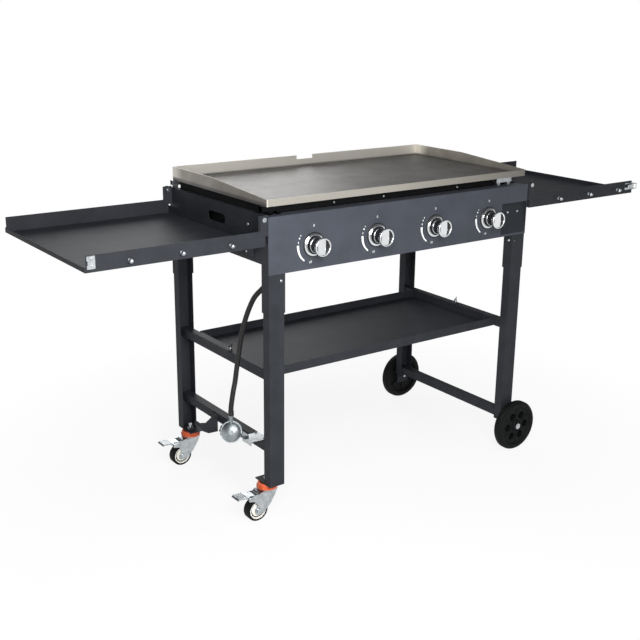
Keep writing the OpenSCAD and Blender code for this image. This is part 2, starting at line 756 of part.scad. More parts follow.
// Legs: channels with screw holes, and a foot plate or a wheel plate at the lower end
module leg(z) difference() {
    channel(leg_w, leg_d, leg_out, [z, leg_top]);
    rod_y(sleeve_hole_x, [bar_end - 1, leg_out + 1], sleeve_screw_z, screw_r + 0.1);
    rod_x([leg_x - leg_w / 2 - 1, leg_x - leg_w / 2 + 3], hy - flank_screw_y, sleeve_screw_z, screw_r + 0.1);
}
module caster_leg() difference() {
    union() {
        leg(caster_h);
        block([leg_x - leg_w / 2, leg_x + leg_w / 2], [leg_out - foot_d, leg_out],
            [caster_h, caster_h + foot_t]);
    }
    rod_z(caster_x, caster_y, [caster_h - 1, caster_h + foot_t + 1], stem_rod_r + 0.1);
}
module wheel_leg() difference() {
    union() {
        leg(right_leg_z);
        block([leg_x - 14, wheel_x + 14], [leg_out, plate_y], [wheel_plate_z, wheel_plate_top]);
    }
    rod_y(wheel_x, [leg_out, plate_y + 1], wheel_r, axle_r + 0.1);
    for (b = plate_bolts)
        rod_y(b[0][0], [leg_out - 1, plate_y + 1], b[0][2], screw_r + 0.1);
}
module front_left_leg() place() color(coat) quarter(-1, -1) caster_leg();
module front_right_leg() place() color(coat) quarter(1, -1) wheel_leg();
module rear_left_leg() place() color(coat) quarter(-1, 1) caster_leg();
module rear_right_leg() place() color(coat) quarter(1, 1) wheel_leg();

// Square tube between a front and a rear leg
module square_tube(top) difference() {
    block([tube_x - tube_w, tube_x], [-bar_end, bar_end], [top - tube_w, top]);
    block([tube_x - tube_w + tube_wall, tube_x - tube_wall], [-bar_end - 1, bar_end + 1],
        [top - tube_w + tube_wall, top - tube_wall]);
}
module tray_rail() {
    square_tube(rail_top);
    rod_z(wing_x, wing_y, [rail_top - 1, rail_top + tray_t + 13], wing_stud_r);
}
module left_tray_rail() place() color(coat) quarter(-1, 1) tray_rail();
module right_tray_rail() place() color(coat) tray_rail();
module left_crossbar() place() color(coat) difference() {
    quarter(-1, 1) square_tube(left_bar_top);
    screw_holes(hanger_screws);
}
module right_crossbar() place() color(coat) square_tube(right_bar_top);

// Hook on the left crossbar that steadies a gas bottle: a curved plate with a flange along its edge
module tank_hook() place() color(coat) translate([-tube_x, 0, left_bar_top]) {
    hook_t = 3;
    through([46, 46 + hook_t])
        polygon([[0, -3.5], [-17, -6.5], [-39, -21.5], [-52, -18.5], [-59, -18.5], [-61, -28.5],
            [-49, -45], [-31, -55.5], [0, -56.5]]);
    through([46, 74])
        polygon([[-59, -18.5], [-61, -28.5], [-49, -45], [-31, -55.5], [0, -56.5], [0, -53.5],
            [-30, -52.5], [-47, -42.5], [-58, -28], [-56, -18.5]]);
    block([-hook_t, 0], [46, 74], [-56.5, -3.5]);
}

// Zinc plate on top of the left crossbar, with a folded lip outside it, that carries the regulator
module regulator_bracket() place() color(zinc) difference() {
    front = hanger_y - 26;
    rear = regulator_c[1] - 28;
    union() {
        block([hanger_out, tube_w - tube_x - 1], [front, rear], [left_bar_top, hanger_top]);
        block([hanger_out, hanger_out + ledge_t], [front, rear - 10], [left_bar_top - 8, hanger_top]);
    }
    screw_holes(hanger_screws);
}

// Regulator: round housing with a domed lid, hose ferrule on top and a neck for the hand nut
module regulator_place()
    translate(regulator_c) rotate([0, 0, regulator_turn]) rotate([regulator_tilt, 0, 0]) children();
module regulator() place() color(zinc) {
    dome_r = 40;
    dome_in = sqrt(dome_r * dome_r - (regulator_r - 3) * (regulator_r - 3));
    regulator_place() {
        rod_y(0, [-6, 6], 0, regulator_r);
        intersection() {
            translate([0, dome_in - 6, 0]) sphere(dome_r);
            rod_y(0, [-16, -5], 0, regulator_r);
        }
        rod_y(0, [-17, -10], 0, 7);
        rod_y(0, [5, 20], 0, 16);
        rod_y(nut_shift, [5, nut_front + nut_l + 4], 0, neck_r);
        rod_y(nut_shift, [nut_front + nut_l + face_gap, nut_front + nut_l + 4], 0, neck_r + 3);
    }
    translate(regulator_c) {
        rod_z(0, 0, [regulator_r - 8, ferrule_rise], ferrule_r);
        rod_z(0, 0, [ferrule_rise - ferrule_collar, ferrule_rise], ferrule_r + ferrule_collar);
    }
    block([regulator_c[0] + 13, regulator_c[0] + 30], [regulator_c[1] - 42, regulator_c[1] - 16],
        [hanger_top, hanger_top + 5]);
}
module regulator_hand_nut() place() color(black_plastic) regulator_place() difference() {
    union() {
        rod_y(nut_shift, [nut_front, nut_front + nut_l], 0, hand_nut_r - 2);
        for (a = [0:30:330])
            translate([nut_shift, 0, 0]) rotate([0, a, 0])
                block([-3, 3], [nut_front, nut_front + nut_l], [hand_nut_r - 6, hand_nut_r]);
    }
    rod_y(nut_shift, [nut_front - 1, nut_front + nut_l + 1], 0, neck_r + run_fit);
}

// Hose: rings of points square to the route, joined into one closed tube
function along(p, i) =
    let (a = p[max(i - 1, 0)], b = p[min(i + 1, len(p) - 1)]) (b - a) / norm(b - a);
function unit(v) = v / norm(v);
function ring(p, i, r, n) =
    let (t = along(p, i), u = unit(cross(t, [1, 0, 0])), v = cross(u, t))
    [for (k = [0:n - 1]) p[i] + r * (cos(360 * k / n) * u + sin(360 * k / n) * v)];
function route_length(p, i = 1) = i >= len(p) ? 0 : norm(p[i] - p[i - 1]) + route_length(p, i + 1);
module swept_tube(p, r, n) {
    m = len(p);
    points = [for (i = [0:m - 1]) each ring(p, i, r, n)];
    sides = [for (i = [0:m - 2]) for (k = [0:n - 1])
        [i * n + k, i * n + (k + 1) % n, (i + 1) * n + (k + 1) % n, (i + 1) * n + k]];
    ends = [[for (k = [n - 1:-1:0]) k], [for (k = [0:n - 1]) (m - 1) * n + k]];
    polyhedron(points, concat(sides, ends));
}
module gas_hose() place() color(rubber) swept_tube(hose_route, hose_r, hose_sides);

// Lower tray: floor, four walls and side lips that lie on the rails
module lower_tray() place() color(coat) difference() {
    union() {
        difference() {
            block([-tray_x, tray_x], [tray_front, tray_rear], [tray_z, tray_z + tray_h]);
            block([tray_t - tray_x, tray_x - tray_t], [tray_front + tray_t, tray_rear - tray_t],
                [tray_z + tray_t, tray_z + tray_h + 1]);
            for (s = [-1, 1])
                block([s * (tray_x - tray_t), s * (tray_x + 1)], [tray_front + 12, tray_rear - 12],
                    [rail_top + tray_t, tray_z + tray_h + 1]);
        }
        for (s = [-1, 1])
            block([s * (tray_x - tray_t), s * (tube_x - 3)], [tray_front + 12, tray_rear - 12],
                [rail_top, rail_top + tray_t]);
    }
    for (s = [-1, 1])
        rod_z(s * wing_x, wing_y, [rail_top - 1, rail_top + tray_t + 1], wing_stud_r + 0.5);
}

// Wing nuts on the rails' studs
module wing_nut(s) place() color(zinc) translate([s * wing_x, wing_y, rail_top + tray_t + face_gap])
    difference() {
        union() {
            cylinder(r = 6, h = 4);
            cylinder(r1 = 6, r2 = 4.5, h = 9);
            for (a = [0, 180])
                rotate([0, 0, a + 35]) through([-1, 1])
                    polygon([[3, 2], [8, 3], [15, 12], [13, 16], [9, 15], [3, 7]]);
        }
        translate([0, 0, -1]) cylinder(r = wing_stud_r + run_fit, h = 12);
    }
module left_wing_nut() wing_nut(-1);
module right_wing_nut() wing_nut(1);

// Brackets on the end panels under the shelves
module shelf_brackets() place() color(coat) difference() {
    for (sx = [-1, 1])
        for (sy = [-1, 1])
            quarter(sx, sy) {
                block([hx, hx + ledge_t], [bracket_y - ledge_w / 2, bracket_y + ledge_w / 2],
                    [shelf_z - bracket_drop, ledge_top]);
                block([hx, hx + ledge_l], [bracket_y - ledge_w / 2, bracket_y + ledge_w / 2],
                    [ledge_top - ledge_t, ledge_top]);
                for (y = [bracket_y - ledge_w / 2, bracket_y + ledge_w / 2 - ledge_t])
                    through([y, y + ledge_t])
                        polygon([[hx, shelf_z - gusset_drop], [hx + ledge_l, ledge_top - ledge_t],
                            [hx, ledge_top - ledge_t]]);
            }
    screw_holes(bracket_screws);
}

// Bolts with collars: four for the shelf pivots and two for the wheels
module pivot_bolt(lug, ear) {
    rod_y(pivot_x, [lug - leg_t - 7, ear + shelf_t + face_gap + 1], pivot_z, pivot_r);
    rod_y(pivot_x, [lug, ear - face_gap], pivot_z, pivot_r + 3);
    rod_y(pivot_x, [ear + shelf_t + face_gap, ear + shelf_t + face_gap + bolt_head_h], pivot_z, bolt_head_r);
    translate([pivot_x, lug - leg_t, pivot_z]) rotate([90, 0, 0]) cylinder(r = 6, h = 5, $fn = 6);
}
module wheel_bolt() {
    rod_y(wheel_x, [leg_out, wheel_out + 1], wheel_r, axle_r);
    rod_y(wheel_x, [plate_y, wheel_in - face_gap], wheel_r, axle_r + 3);
    rod_y(wheel_x, [wheel_out + face_gap, wheel_out + face_gap + axle_head], wheel_r, axle_r + 5);
}
module shoulder_bolts() place() color(zinc) {
    for (sx = [-1, 1]) {
        quarter(sx, -1) pivot_bolt(hy, shelf_front);
        quarter(sx, 1) pivot_bolt(rear_lug, shelf_rear);
    }
    for (sy = [-1, 1])
        quarter(1, sy) wheel_bolt();
}

// Screws of the body and cart
module frame_screws() place() color(zinc) {
    screws(firebox_screws, small_head_r);
    screws(pocket_screws, small_head_r);
    screws(end_screws);
    screws(left_sleeve_screws);
    screws(right_sleeve_screws);
    screws(bracket_screws);
    screws(plate_bolts, bolt_head);
    screws(hanger_screws);
}

// Grease cup on its ledges behind the firebox, under the drain slot
module grease_cup() place() color(zinc) {
    front = fire_rear + leg_t + 1;
    cup_t = 1.2;
    difference() {
        block([-cup_w / 2, cup_w / 2], [front, front + cup_d], [cup_z, cup_z + cup_h]);
        block([cup_t - cup_w / 2, cup_w / 2 - cup_t], [front + cup_t, front + cup_d - cup_t],
            [cup_z + cup_t, cup_z + cup_h + 1]);
    }
    block([-12, 12], [front + cup_d, front + cup_d + 10], [cup_z + cup_h - cup_t, cup_z + cup_h]);
}

// Shelf, drawn on the right at rest: floor, flanges, outer lip and pivot straps
module shelf() {
    y = [-shelf_front - shelf_t, shelf_rear + shelf_t];
    block([shelf_in, shelf_out], y, [shelf_z, shelf_z + shelf_t]);
    block([shelf_in, shelf_in + shelf_t], y, [shelf_z, shelf_z + shelf_inner]);
    block([shelf_out - shelf_t, shelf_out], y, [shelf_z, shelf_z + shelf_lip]);
    for (f = [[y[0], y[0] + shelf_t], [y[1] - shelf_t, y[1]]])
        difference() {
            union() {
                through(f) polygon([[shelf_in, shelf_z], [shelf_out, shelf_z],
                    [shelf_out, shelf_z + shelf_lip], [shelf_out - 3, shelf_z + shelf_lip + 2],
                    [shelf_out - 3, shelf_top], [shelf_in, shelf_top]]);
                block([pivot_x - ear_r, pivot_x + ear_r], f, [ear_z, pivot_z]);
                rod_y(pivot_x, f, pivot_z, ear_r);
            }
            rod_y(pivot_x, [f[0] - 1, f[1] + 1], pivot_z, pivot_r + run_fit);
        }
}
module left_shelf() place() color(coat) quarter(-1, 1) shelf();
module right_shelf() place() color(coat) shelf();

// Tool pegs on the shelves' front flanges
module pegs(first, last) for (i = [0:2]) {
    x = first + i * (last - first) / 2;
    face = -shelf_front - shelf_t;
    rod_y(x, [face - peg_l + peg_head_r, face], shelf_z + peg_z, peg_r);
    rod_y(x, [face - 2, face], shelf_z + peg_z, peg_r + 2);
    translate([x, face - peg_l + peg_head_r, shelf_z + peg_z]) sphere(peg_head_r);
}
module left_tool_pegs() place() color(zinc) quarter(-1, 1)
    pegs(pivot_x + left_peg_first, shelf_out - left_peg_last);
module right_tool_pegs() place() color(zinc)
    pegs(pivot_x + right_peg_first, shelf_out - right_peg_last);

// Draw latch on the right shelf: base with two ears and a pin, lever, and wire loop
module latch_base() place() color(zinc) {
    face = -shelf_front - shelf_t;
    lever_half = lever_w / 2;
    block([latch_pin_x - latch_l, latch_pin_x], [face - latch_plate_t, face],
        [latch_z - latch_h / 2, latch_z + latch_h / 2]);
    for (s = [-1, 1])
        block([latch_pin_x - 3, latch_pin_x + 3], [face, -latch_pin_y - 3],
            [latch_z + s * 9, latch_z + s * 10.5]);
    rod_z(latch_pin_x, -latch_pin_y, [latch_z - 9.5, latch_z + 9.5], latch_pin_r);
    for (s = [-1, 1])
        rod_z(latch_pin_x, -latch_pin_y,
            [latch_z + s * (lever_half + face_gap), latch_z + s * (lever_half + 1)], latch_pin_r + 0.3);
}
module latch_lever() place() color(zinc) translate([0, 0, latch_z - lever_w / 2]) difference() {
    web = 0.8 * latch_hub_r;
    tip_x = loop_x - lever_l + 12;
    union() {
        rod_z(latch_pin_x, -latch_pin_y, [0, lever_w], latch_hub_r);
        rod_z(loop_x, -loop_y, [0, lever_w], latch_hub_r);
        linear_extrude(lever_w) polygon([[latch_pin_x, -latch_pin_y + web], [latch_pin_x, -latch_pin_y - web],
            [loop_x, -loop_y - web], [tip_x + 6, -loop_y - web + 1], [tip_x, -loop_y - web - 3],
            [tip_x - 1, -loop_y - web - 1], [tip_x + 5, -loop_y + web - 1], [loop_x, -loop_y + web],
            [latch_pin_x - 0.7, -latch_pin_y + web]]);
    }
    rod_z(latch_pin_x, -latch_pin_y, [-1, lever_w + 1], latch_pin_r + run_fit);
    rod_z(loop_x, -loop_y, [-1, lever_w + 1], loop_r + run_fit);
}
module latch_loop() place() color(zinc) {
    for (s = [-1, 1])
        rod_x([loop_x, loop_x + loop_l], -loop_y, latch_z + s * loop_half, loop_r);
    rod_z(loop_x, -loop_y, [latch_z - loop_half, latch_z + loop_half], loop_r);
    rod_z(loop_x + loop_l, -loop_y, [latch_z - loop_half, latch_z + loop_half], loop_r);
    for (s = [-1, 1])
        for (x = [loop_x, loop_x + loop_l])
            translate([x, -loop_y, latch_z + s * loop_half]) sphere(loop_r);
}

// Keeper on the left shelf, whose bar the loop catches when both shelves are folded
module latch_keeper() place() color(zinc) {
    face = -shelf_front - shelf_t;
    bar = 6 - 2 * pivot_x;
    block([bar, bar + keeper_w], [face - latch_plate_t, face],
        [latch_z - keeper_h / 2, latch_z + keeper_h / 2]);
    block([bar, bar + 2], [face - keeper_hook, face],
        [latch_z - keeper_bar / 2, latch_z + keeper_bar / 2]);
    for (s = [-1, 1])
        rod_y(bar + 13, [face - latch_plate_t - 1.6, face - latch_plate_t], latch_z + s * 9, 3);
}

// Caster parts, drawn about a stem that stands over the origin, with the axle to the left
module caster(sy) place() translate([-caster_x, sy * caster_y, 0]) children();
module caster_turned(y)
    translate([-caster_trail, y, caster_r]) rotate([90, 0, 0]) rotate_extrude() children();
module caster_stems() for (s = [-1, 1]) caster(s) color(zinc) {
    rod_z(0, 0, [fork_top - stem_foot, stem_top], stem_rod_r);
    rod_z(0, 0, [fork_top - stem_foot, fork_top - fork_t - face_gap], stem_rod_r + 4);
    rod_z(0, 0, [fork_top + face_gap, fork_top + 4], race_r);
    translate([0, 0, fork_top + 3]) cylinder(r = stem_hex_r, h = caster_h - fork_top - 3, $fn = 6);
    translate([0, 0, caster_h + foot_t]) cylinder(r = stem_nut_r, h = stem_nut_h, $fn = 6);
}
module dust_rings() for (s = [-1, 1]) caster(s) color(orange) translate([0, 0, fork_top + 0.6])
    rotate_extrude()
        polygon([[ring_in, 0], [ring_r - 1, 0], [ring_r, 1], [ring_r, 6], [ring_r - 2.5, 8],
            [ring_r - 2.5, ring_h - 3], [ring_r - 4.5, ring_h], [ring_in, ring_h]]);
module caster_fork(s) caster(s) color(zinc) difference() {
    cheek = [[22.5, fork_top], [22.5, fork_top - 2], [14.5, fork_top - 20], [-1.5, caster_r + 11],
        [24 - caster_trail, caster_r + 1], [16 - caster_trail, caster_r - 9],
        [-caster_trail - 9, caster_r - 5], [-caster_trail - 9.5, caster_r + 4],
        [-caster_trail - 4.5, caster_r + 19], [pedal_x - 1.5, fork_top - 25.5],
        [pedal_x - 18.5, fork_top - 22], [pedal_x - 18.5, fork_top - 13],
        [pedal_x - 14.5, fork_top - 10], [pedal_x + 7.5, fork_top - 7.5],
        [-7.5, fork_top - 5.5], [-7.5, fork_top]];
    union() {
        rod_z(0, 0, [fork_top - fork_t, fork_top], 24);
        through([-cheek_in - cheek_t, cheek_in + cheek_t])
            polygon([[22.5, fork_top], [-12, fork_top], [-34, fork_top - 5.5], [-34, fork_top - 8.5],
                [-12, fork_top - fork_t], [22.5, fork_top - fork_t]]);
        for (y = [-cheek_in - cheek_t, cheek_in]) {
            through([y, y + cheek_t]) polygon(cheek);
            rod_y(-caster_trail, [y, y + cheek_t], caster_r, 12);
        }
        rod_y(-caster_trail, [-cheek_in - cheek_t - 3, cheek_in + cheek_t + 3], caster_r, caster_axle_r);
        for (y = [-cheek_in - cheek_t - 3, cheek_in + cheek_t])
            rod_y(-caster_trail, [y, y + 3], caster_r, caster_axle_r + 3);
        rod_y(pedal_x, [-cheek_in - cheek_t - 1, cheek_in + cheek_t + 1], pedal_z, pedal_pin_r);
    }
    rod_z(0, 0, [fork_top - fork_t - 1, fork_top + 1], stem_rod_r + run_fit);
}
module front_caster_fork() caster_fork(-1);
module rear_caster_fork() caster_fork(1);
module caster_hub(s) caster(s) color(cream) caster_turned(0)
    polygon([[caster_axle_r + run_fit, -13.5], [10, -13.5], [12, -9], [caster_hub_r - 4, -9],
        [caster_hub_r - 2, -13], [caster_hub_r, -13], [caster_hub_r, 13], [caster_hub_r - 2, 13],
        [caster_hub_r - 4, 9], [12, 9], [10, 13.5], [caster_axle_r + run_fit, 13.5]]);
module front_caster_hub() caster_hub(-1);
module rear_caster_hub() caster_hub(1);
module caster_tyre(s) caster(s) color(rubber) caster_turned(0)
    polygon([[caster_hub_r, -13], [caster_hub_r + 3, -caster_w / 2], [caster_r - 3, -caster_w / 2],
        [caster_r, 4 - caster_w / 2], [caster_r, caster_w / 2 - 4], [caster_r - 3, caster_w / 2],
        [caster_hub_r + 3, caster_w / 2], [caster_hub_r, 13]]);
module front_caster_tyre() caster_tyre(-1);
module rear_caster_tyre() caster_tyre(1);

// Brake pedal: a hub on its pin, a shoe over the tyre and a ridged toe plate
module brake_pedal(s) caster(s) color(zinc) difference() {
    union() {
        rod_y(pedal_x, [-13, 13], pedal_z, 5.5);
        through([-13, 13]) polygon([[pedal_x + 2, pedal_z - 5], [pedal_x - 7, shoe_z],
            [pedal_x - 14, shoe_z], [pedal_x - 24, pedal_z + 2], [pedal_x - 24, pedal_z + 8],
            [pedal_x, pedal_z + 5.5]]);
        through([-17, 17]) polygon([[pedal_x - 22, pedal_z + 3], [pedal_x - 50, pedal_z + 6],
            [pedal_x - 53, pedal_z + 3], [pedal_x - 55, pedal_z + 5], [pedal_x - 51, pedal_z + 9.5],
            [pedal_x - 22, pedal_z + 8]]);
        for (i = [0:3])
            rod_y(pedal_x - 27 - 6.5 * i, [-17, 17], pedal_z + 8 + 0.3 * i, 1.4);
    }
    rod_y(pedal_x, [-14, 14], pedal_z, pedal_pin_r + run_fit);
}
module front_brake_pedal() brake_pedal(-1);
module rear_brake_pedal() brake_pedal(1);

// Big wheels: hub, web with round recesses, rim and tyre in one moulding
module big_wheel(s) place() color(rubber) quarter(1, s)
    translate([wheel_x, wheel_out, wheel_r]) rotate([90, 0, 0]) difference() {
        rotate_extrude()
            polygon([[axle_r + run_fit, 0], [hub_wheel_r - 3, 0], [hub_wheel_r, 3], [hub_wheel_r, web_in],
                [rim_r - 7, web_in], [rim_r - 5, 1.5], [rim_r, 0.5], [rim_r + 5, 0.5],
                [wheel_r - 3, 3], [wheel_r, 8],
                [wheel_r, wheel_w - 8], [wheel_r - 3, wheel_w - 3], [rim_r + 5, wheel_w - 0.5],
                [rim_r, wheel_w - 0.5], [rim_r - 6, wheel_w - 2], [rim_r - 8, wheel_w - 8],
                [hub_wheel_r, wheel_w - 8], [hub_wheel_r, wheel_w - 3], [hub_wheel_r - 3, wheel_w],
                [axle_r + run_fit, wheel_w]]);
        for (i = [0:wheel_holes - 1])
            rotate([0, 0, 360 * i / wheel_holes]) translate([hole_ring_r, 0, -1])
                cylinder(r = 12, h = wheel_w - 11);
    }
module front_wheel() big_wheel(-1);
module rear_wheel() big_wheel(1);

echo(hose_length = route_length(hose_route));

griddle_plate();
griddle_posts();
firebox();
control_panel();
left_end_panel();
right_end_panel();
burners();
gas_manifold();
gas_valves();
knob_bezels();
left_leg_sleeves();
right_leg_sleeves();
front_left_leg();
front_right_leg();
rear_left_leg();
rear_right_leg();
left_tray_rail();
right_tray_rail();
left_crossbar();
right_crossbar();
tank_hook();
regulator_bracket();
lower_tray();
shelf_brackets();
shoulder_bolts();
frame_screws();
caster_stems();
dust_rings();
regulator();
gas_hose();
grease_cup();
valve_plunger_1();
valve_plunger_2();
valve_plunger_3();
valve_plunger_4();
knob_1();
knob_2();
knob_3();
knob_4();
left_shelf();
right_shelf();
left_tool_pegs();
right_tool_pegs();
latch_base();
latch_lever();
latch_loop();
latch_keeper();
front_caster_fork();
rear_caster_fork();
front_caster_hub();
rear_caster_hub();
front_caster_tyre();
rear_caster_tyre();
front_brake_pedal();
rear_brake_pedal();
front_wheel();
rear_wheel();
regulator_hand_nut();
left_wing_nut();
right_wing_nut();
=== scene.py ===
import json
import math

import bmesh
import bpy
import numpy as np
from mathutils import Matrix, Vector


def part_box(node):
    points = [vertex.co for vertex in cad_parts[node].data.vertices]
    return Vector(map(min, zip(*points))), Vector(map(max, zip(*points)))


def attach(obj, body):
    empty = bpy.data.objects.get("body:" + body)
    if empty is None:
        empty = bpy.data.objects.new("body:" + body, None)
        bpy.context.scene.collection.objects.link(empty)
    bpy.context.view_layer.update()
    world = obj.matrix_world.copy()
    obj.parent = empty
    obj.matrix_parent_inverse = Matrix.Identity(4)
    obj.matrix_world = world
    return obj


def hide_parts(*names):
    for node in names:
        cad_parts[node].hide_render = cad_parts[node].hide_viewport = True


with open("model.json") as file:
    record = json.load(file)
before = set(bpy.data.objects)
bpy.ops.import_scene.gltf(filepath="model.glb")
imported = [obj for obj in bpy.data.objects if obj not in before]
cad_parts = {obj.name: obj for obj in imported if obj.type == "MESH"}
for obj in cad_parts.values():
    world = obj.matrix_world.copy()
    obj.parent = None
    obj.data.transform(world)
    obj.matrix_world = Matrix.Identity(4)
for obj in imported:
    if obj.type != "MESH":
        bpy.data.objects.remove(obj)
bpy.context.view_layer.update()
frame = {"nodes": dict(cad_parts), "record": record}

# Sizes are in metres. The cart's middle lies a little off the frame's origin, which is under the middle of
# the whole part.
MM = 0.001
CART_MIDDLE = np.array([-6.15, 3.7, 0.0]) * MM


def cart(x, y, z):
    """A point given in millimetres from the cart's middle at floor level, as a point in the frame."""
    return np.array([x, y, z]) * MM + CART_MIDDLE


# Camera, at the photograph's place
CAMERA_AT = (-1.8208, -2.3500, 1.3517)
CAMERA_TURN = math.radians(-35.9)
CAMERA_DROP = math.radians(17.2)
CAMERA_ROLL = math.radians(0.6)
SENSOR_MM = 36
LENS_MM = 57.56


def make_camera():
    """The viewing direction turns about Z from +Y and drops below the horizon, and the roll turns the
    picture about it."""
    forward = Vector((-math.sin(CAMERA_TURN) * math.cos(CAMERA_DROP),
                      math.cos(CAMERA_TURN) * math.cos(CAMERA_DROP),
                      -math.sin(CAMERA_DROP)))
    level = forward.cross(Vector((0, 0, 1))).normalized()
    upright = level.cross(forward)
    right = level * math.cos(CAMERA_ROLL) + upright * math.sin(CAMERA_ROLL)
    up = upright * math.cos(CAMERA_ROLL) - level * math.sin(CAMERA_ROLL)
    data = bpy.data.cameras.new("camera")
    data.lens = LENS_MM
    data.sensor_width = SENSOR_MM
    data.clip_end = 50
    camera = bpy.data.objects.new("camera", data)
    bpy.context.scene.collection.objects.link(camera)
    turn = Matrix((right, up, -forward)).transposed().to_4x4()
    camera.matrix_world = Matrix.Translation(CAMERA_AT) @ turn
    bpy.context.scene.camera = camera


make_camera()


# Arrays of points and faces, from which every new piece is made
def grid_faces(rows, columns, close_rows=False, close_columns=False):
    """Quads between neighbouring points of a grid; a closed direction joins its last line to its first."""
    r = np.arange(rows if close_rows else rows - 1)
    c = np.arange(columns if close_columns else columns - 1)
    r, c = np.meshgrid(r, c, indexing="ij")
    below = (r + 1) % rows
    beside = (c + 1) % columns
    quads = np.stack([r * columns + c, r * columns + beside,
                      below * columns + beside, below * columns + c], -1)
    return quads.reshape(-1, 4).tolist()


def turned(profile, sides=48, ripple=None):
    """A profile of radius and height turned about Z. Point (i, k) is radius i at angle 2 pi k / sides.
    ripple(angle, height) is added to the radius."""
    profile = np.asarray(profile, float)
    angle = np.arange(sides) * 2 * math.pi / sides
    radius = profile[:, :1] + np.zeros(sides)
    if ripple is not None:
        radius = radius + ripple(angle[None, :], profile[:, 1:2])
    x = radius * np.cos(angle)
    y = radius * np.sin(angle)
    z = profile[:, 1:2] + np.zeros(sides)
    points = np.stack([x, y, z], -1).reshape(-1, 3)
    return points, grid_faces(len(profile), sides, close_columns=True)


def turned_ring(section, sides=96):
    """A closed section of radius and height turned about Z."""
    points, _ = turned(section, sides)
    return points, grid_faces(len(section), sides, close_rows=True, close_columns=True)


def ring_of(radius, half_width, height):
    """A ridge round Z, whose section is an ellipse of the given half width and half height."""
    a = np.linspace(0, 2 * math.pi, 12, endpoint=False)
    return turned_ring(np.stack([radius + half_width * np.cos(a), height * np.sin(a)], -1))


def normals_along(path):
    """Two normals at each point of a path, which turn as little as they can along it: the first is the one
    before it, less its share along the tangent, and the tangent comes from central differences."""
    tangent = np.gradient(path, axis=0)
    tangent /= np.linalg.norm(tangent, axis=1, keepdims=True)
    side = np.cross(tangent[0], [1.0, 0.0, 0.0])
    if np.linalg.norm(side) < 0.1:
        side = np.cross(tangent[0], [0.0, 1.0, 0.0])
    sides = []
    for t in tangent:
        side = side - t * np.dot(side, t)
        side = side / np.linalg.norm(side)
        sides.append(side)
    sides = np.array(sides)
    return sides, np.cross(tangent, sides)


def tube(path, radius, sides=16):
    """A round section carried along a path: point (i, k) is path i plus radius i times
    (cos a side + sin a up), where a is 2 pi k / sides. Both ends close in a point at their middle."""
    path = np.asarray(path, float)
    radius = np.broadcast_to(np.asarray(radius, float), (len(path),)).copy()
    path = np.concatenate([path[:1], path, path[-1:]])
    radius = np.concatenate([[0.0], radius, [0.0]])
    side, up = normals_along(path[1:-1])
    side = np.concatenate([side[:1], side, side[-1:]])
    up = np.concatenate([up[:1], up, up[-1:]])
    angle = np.arange(sides) * 2 * math.pi / sides
    ring = side[:, None] * np.cos(angle)[None, :, None] + up[:, None] * np.sin(angle)[None, :, None]
    points = path[:, None] + ring * radius[:, None, None]
    return points.reshape(-1, 3), grid_faces(len(path), sides, close_columns=True)


def slab(outline, low, high):
    """An outline in X and Y carried from one height to another, with both ends filled."""
    outline = np.asarray(outline, float)
    n = len(outline)
    points = np.concatenate([np.c_[outline, np.full(n, low)], np.c_[outline, np.full(n, high)]])
    faces = grid_faces(2, n, close_columns=True)
    return points, faces + [list(range(n))[::-1], list(range(n, 2 * n))]


def placed(shape, origin, z_axis=(0, 0, 1), x_axis=(1, 0, 0)):
    """A shape drawn about Z, set at an origin with its Z and X turned to the given directions."""
    z = np.asarray(z_axis, float) / np.linalg.norm(z_axis)
    x = np.asarray(x_axis, float) - z * np.dot(x_axis, z)
    x = x / np.linalg.norm(x)
    points, faces = shape
    return points @ np.array([x, np.cross(z, x), z]) + np.asarray(origin, float), faces


def together(shapes):
    """Several shapes as one, with each one's face numbers moved past the points before it."""
    points, faces, count = [], [], 0
    for p, f in shapes:
        points.append(p)
        faces.extend([[i + count for i in face] for face in f])
        count += len(p)
    return np.concatenate(points), faces


# Points closer than the first are merged, and edges shorter than the second are dissolved
MERGED = 0.01 * MM
COLLAPSED = 0.001 * MM
# Angle in degrees over which an edge is sharp
SHARP = 35.0


def piece(name, shape, material, body):
    """A mesh object from points and faces, doubles merged and faces outwards, which rides on a CAD body."""
    points, faces = shape
    mesh = bpy.data.meshes.new(name)
    mesh.from_pydata(np.asarray(points).tolist(), [], faces)
    work = bmesh_of(mesh)
    work.to_mesh(mesh)
    work.free()
    mesh.shade_smooth()
    mesh.set_sharp_from_angle(angle=math.radians(SHARP))
    mesh.materials.append(material)
    made = bpy.data.objects.new(name, mesh)
    bpy.context.scene.collection.objects.link(made)
    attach(made, body)
    return made


def bmesh_of(mesh):
    """The mesh as a bmesh, with points that are closer than MERGED merged and normals outwards."""
    work = bmesh.new()
    work.from_mesh(mesh)
    bmesh.ops.remove_doubles(work, verts=work.verts, dist=MERGED)
    bmesh.ops.dissolve_degenerate(work, dist=COLLAPSED, edges=work.edges)
    bmesh.ops.recalc_face_normals(work, faces=work.faces)
    return work


# Materials. Most of a noise texture's values lie between NOISE_LOW and NOISE_HIGH, and nearly all of them
# between GRAIN_LOW and GRAIN_HIGH.
NOISE_LOW = 0.35
NOISE_HIGH = 0.65
GRAIN_LOW = 0.3
GRAIN_HIGH = 0.7


def linear(colour):
    """An sRGB hex colour as linear red, green, blue and alpha."""
    parts = [int(colour[i:i + 2], 16) / 255 for i in (1, 3, 5)]
    return tuple(c / 12.92 if c <= 0.04045 else ((c + 0.055) / 1.055) ** 2.4 for c in parts) + (1.0,)


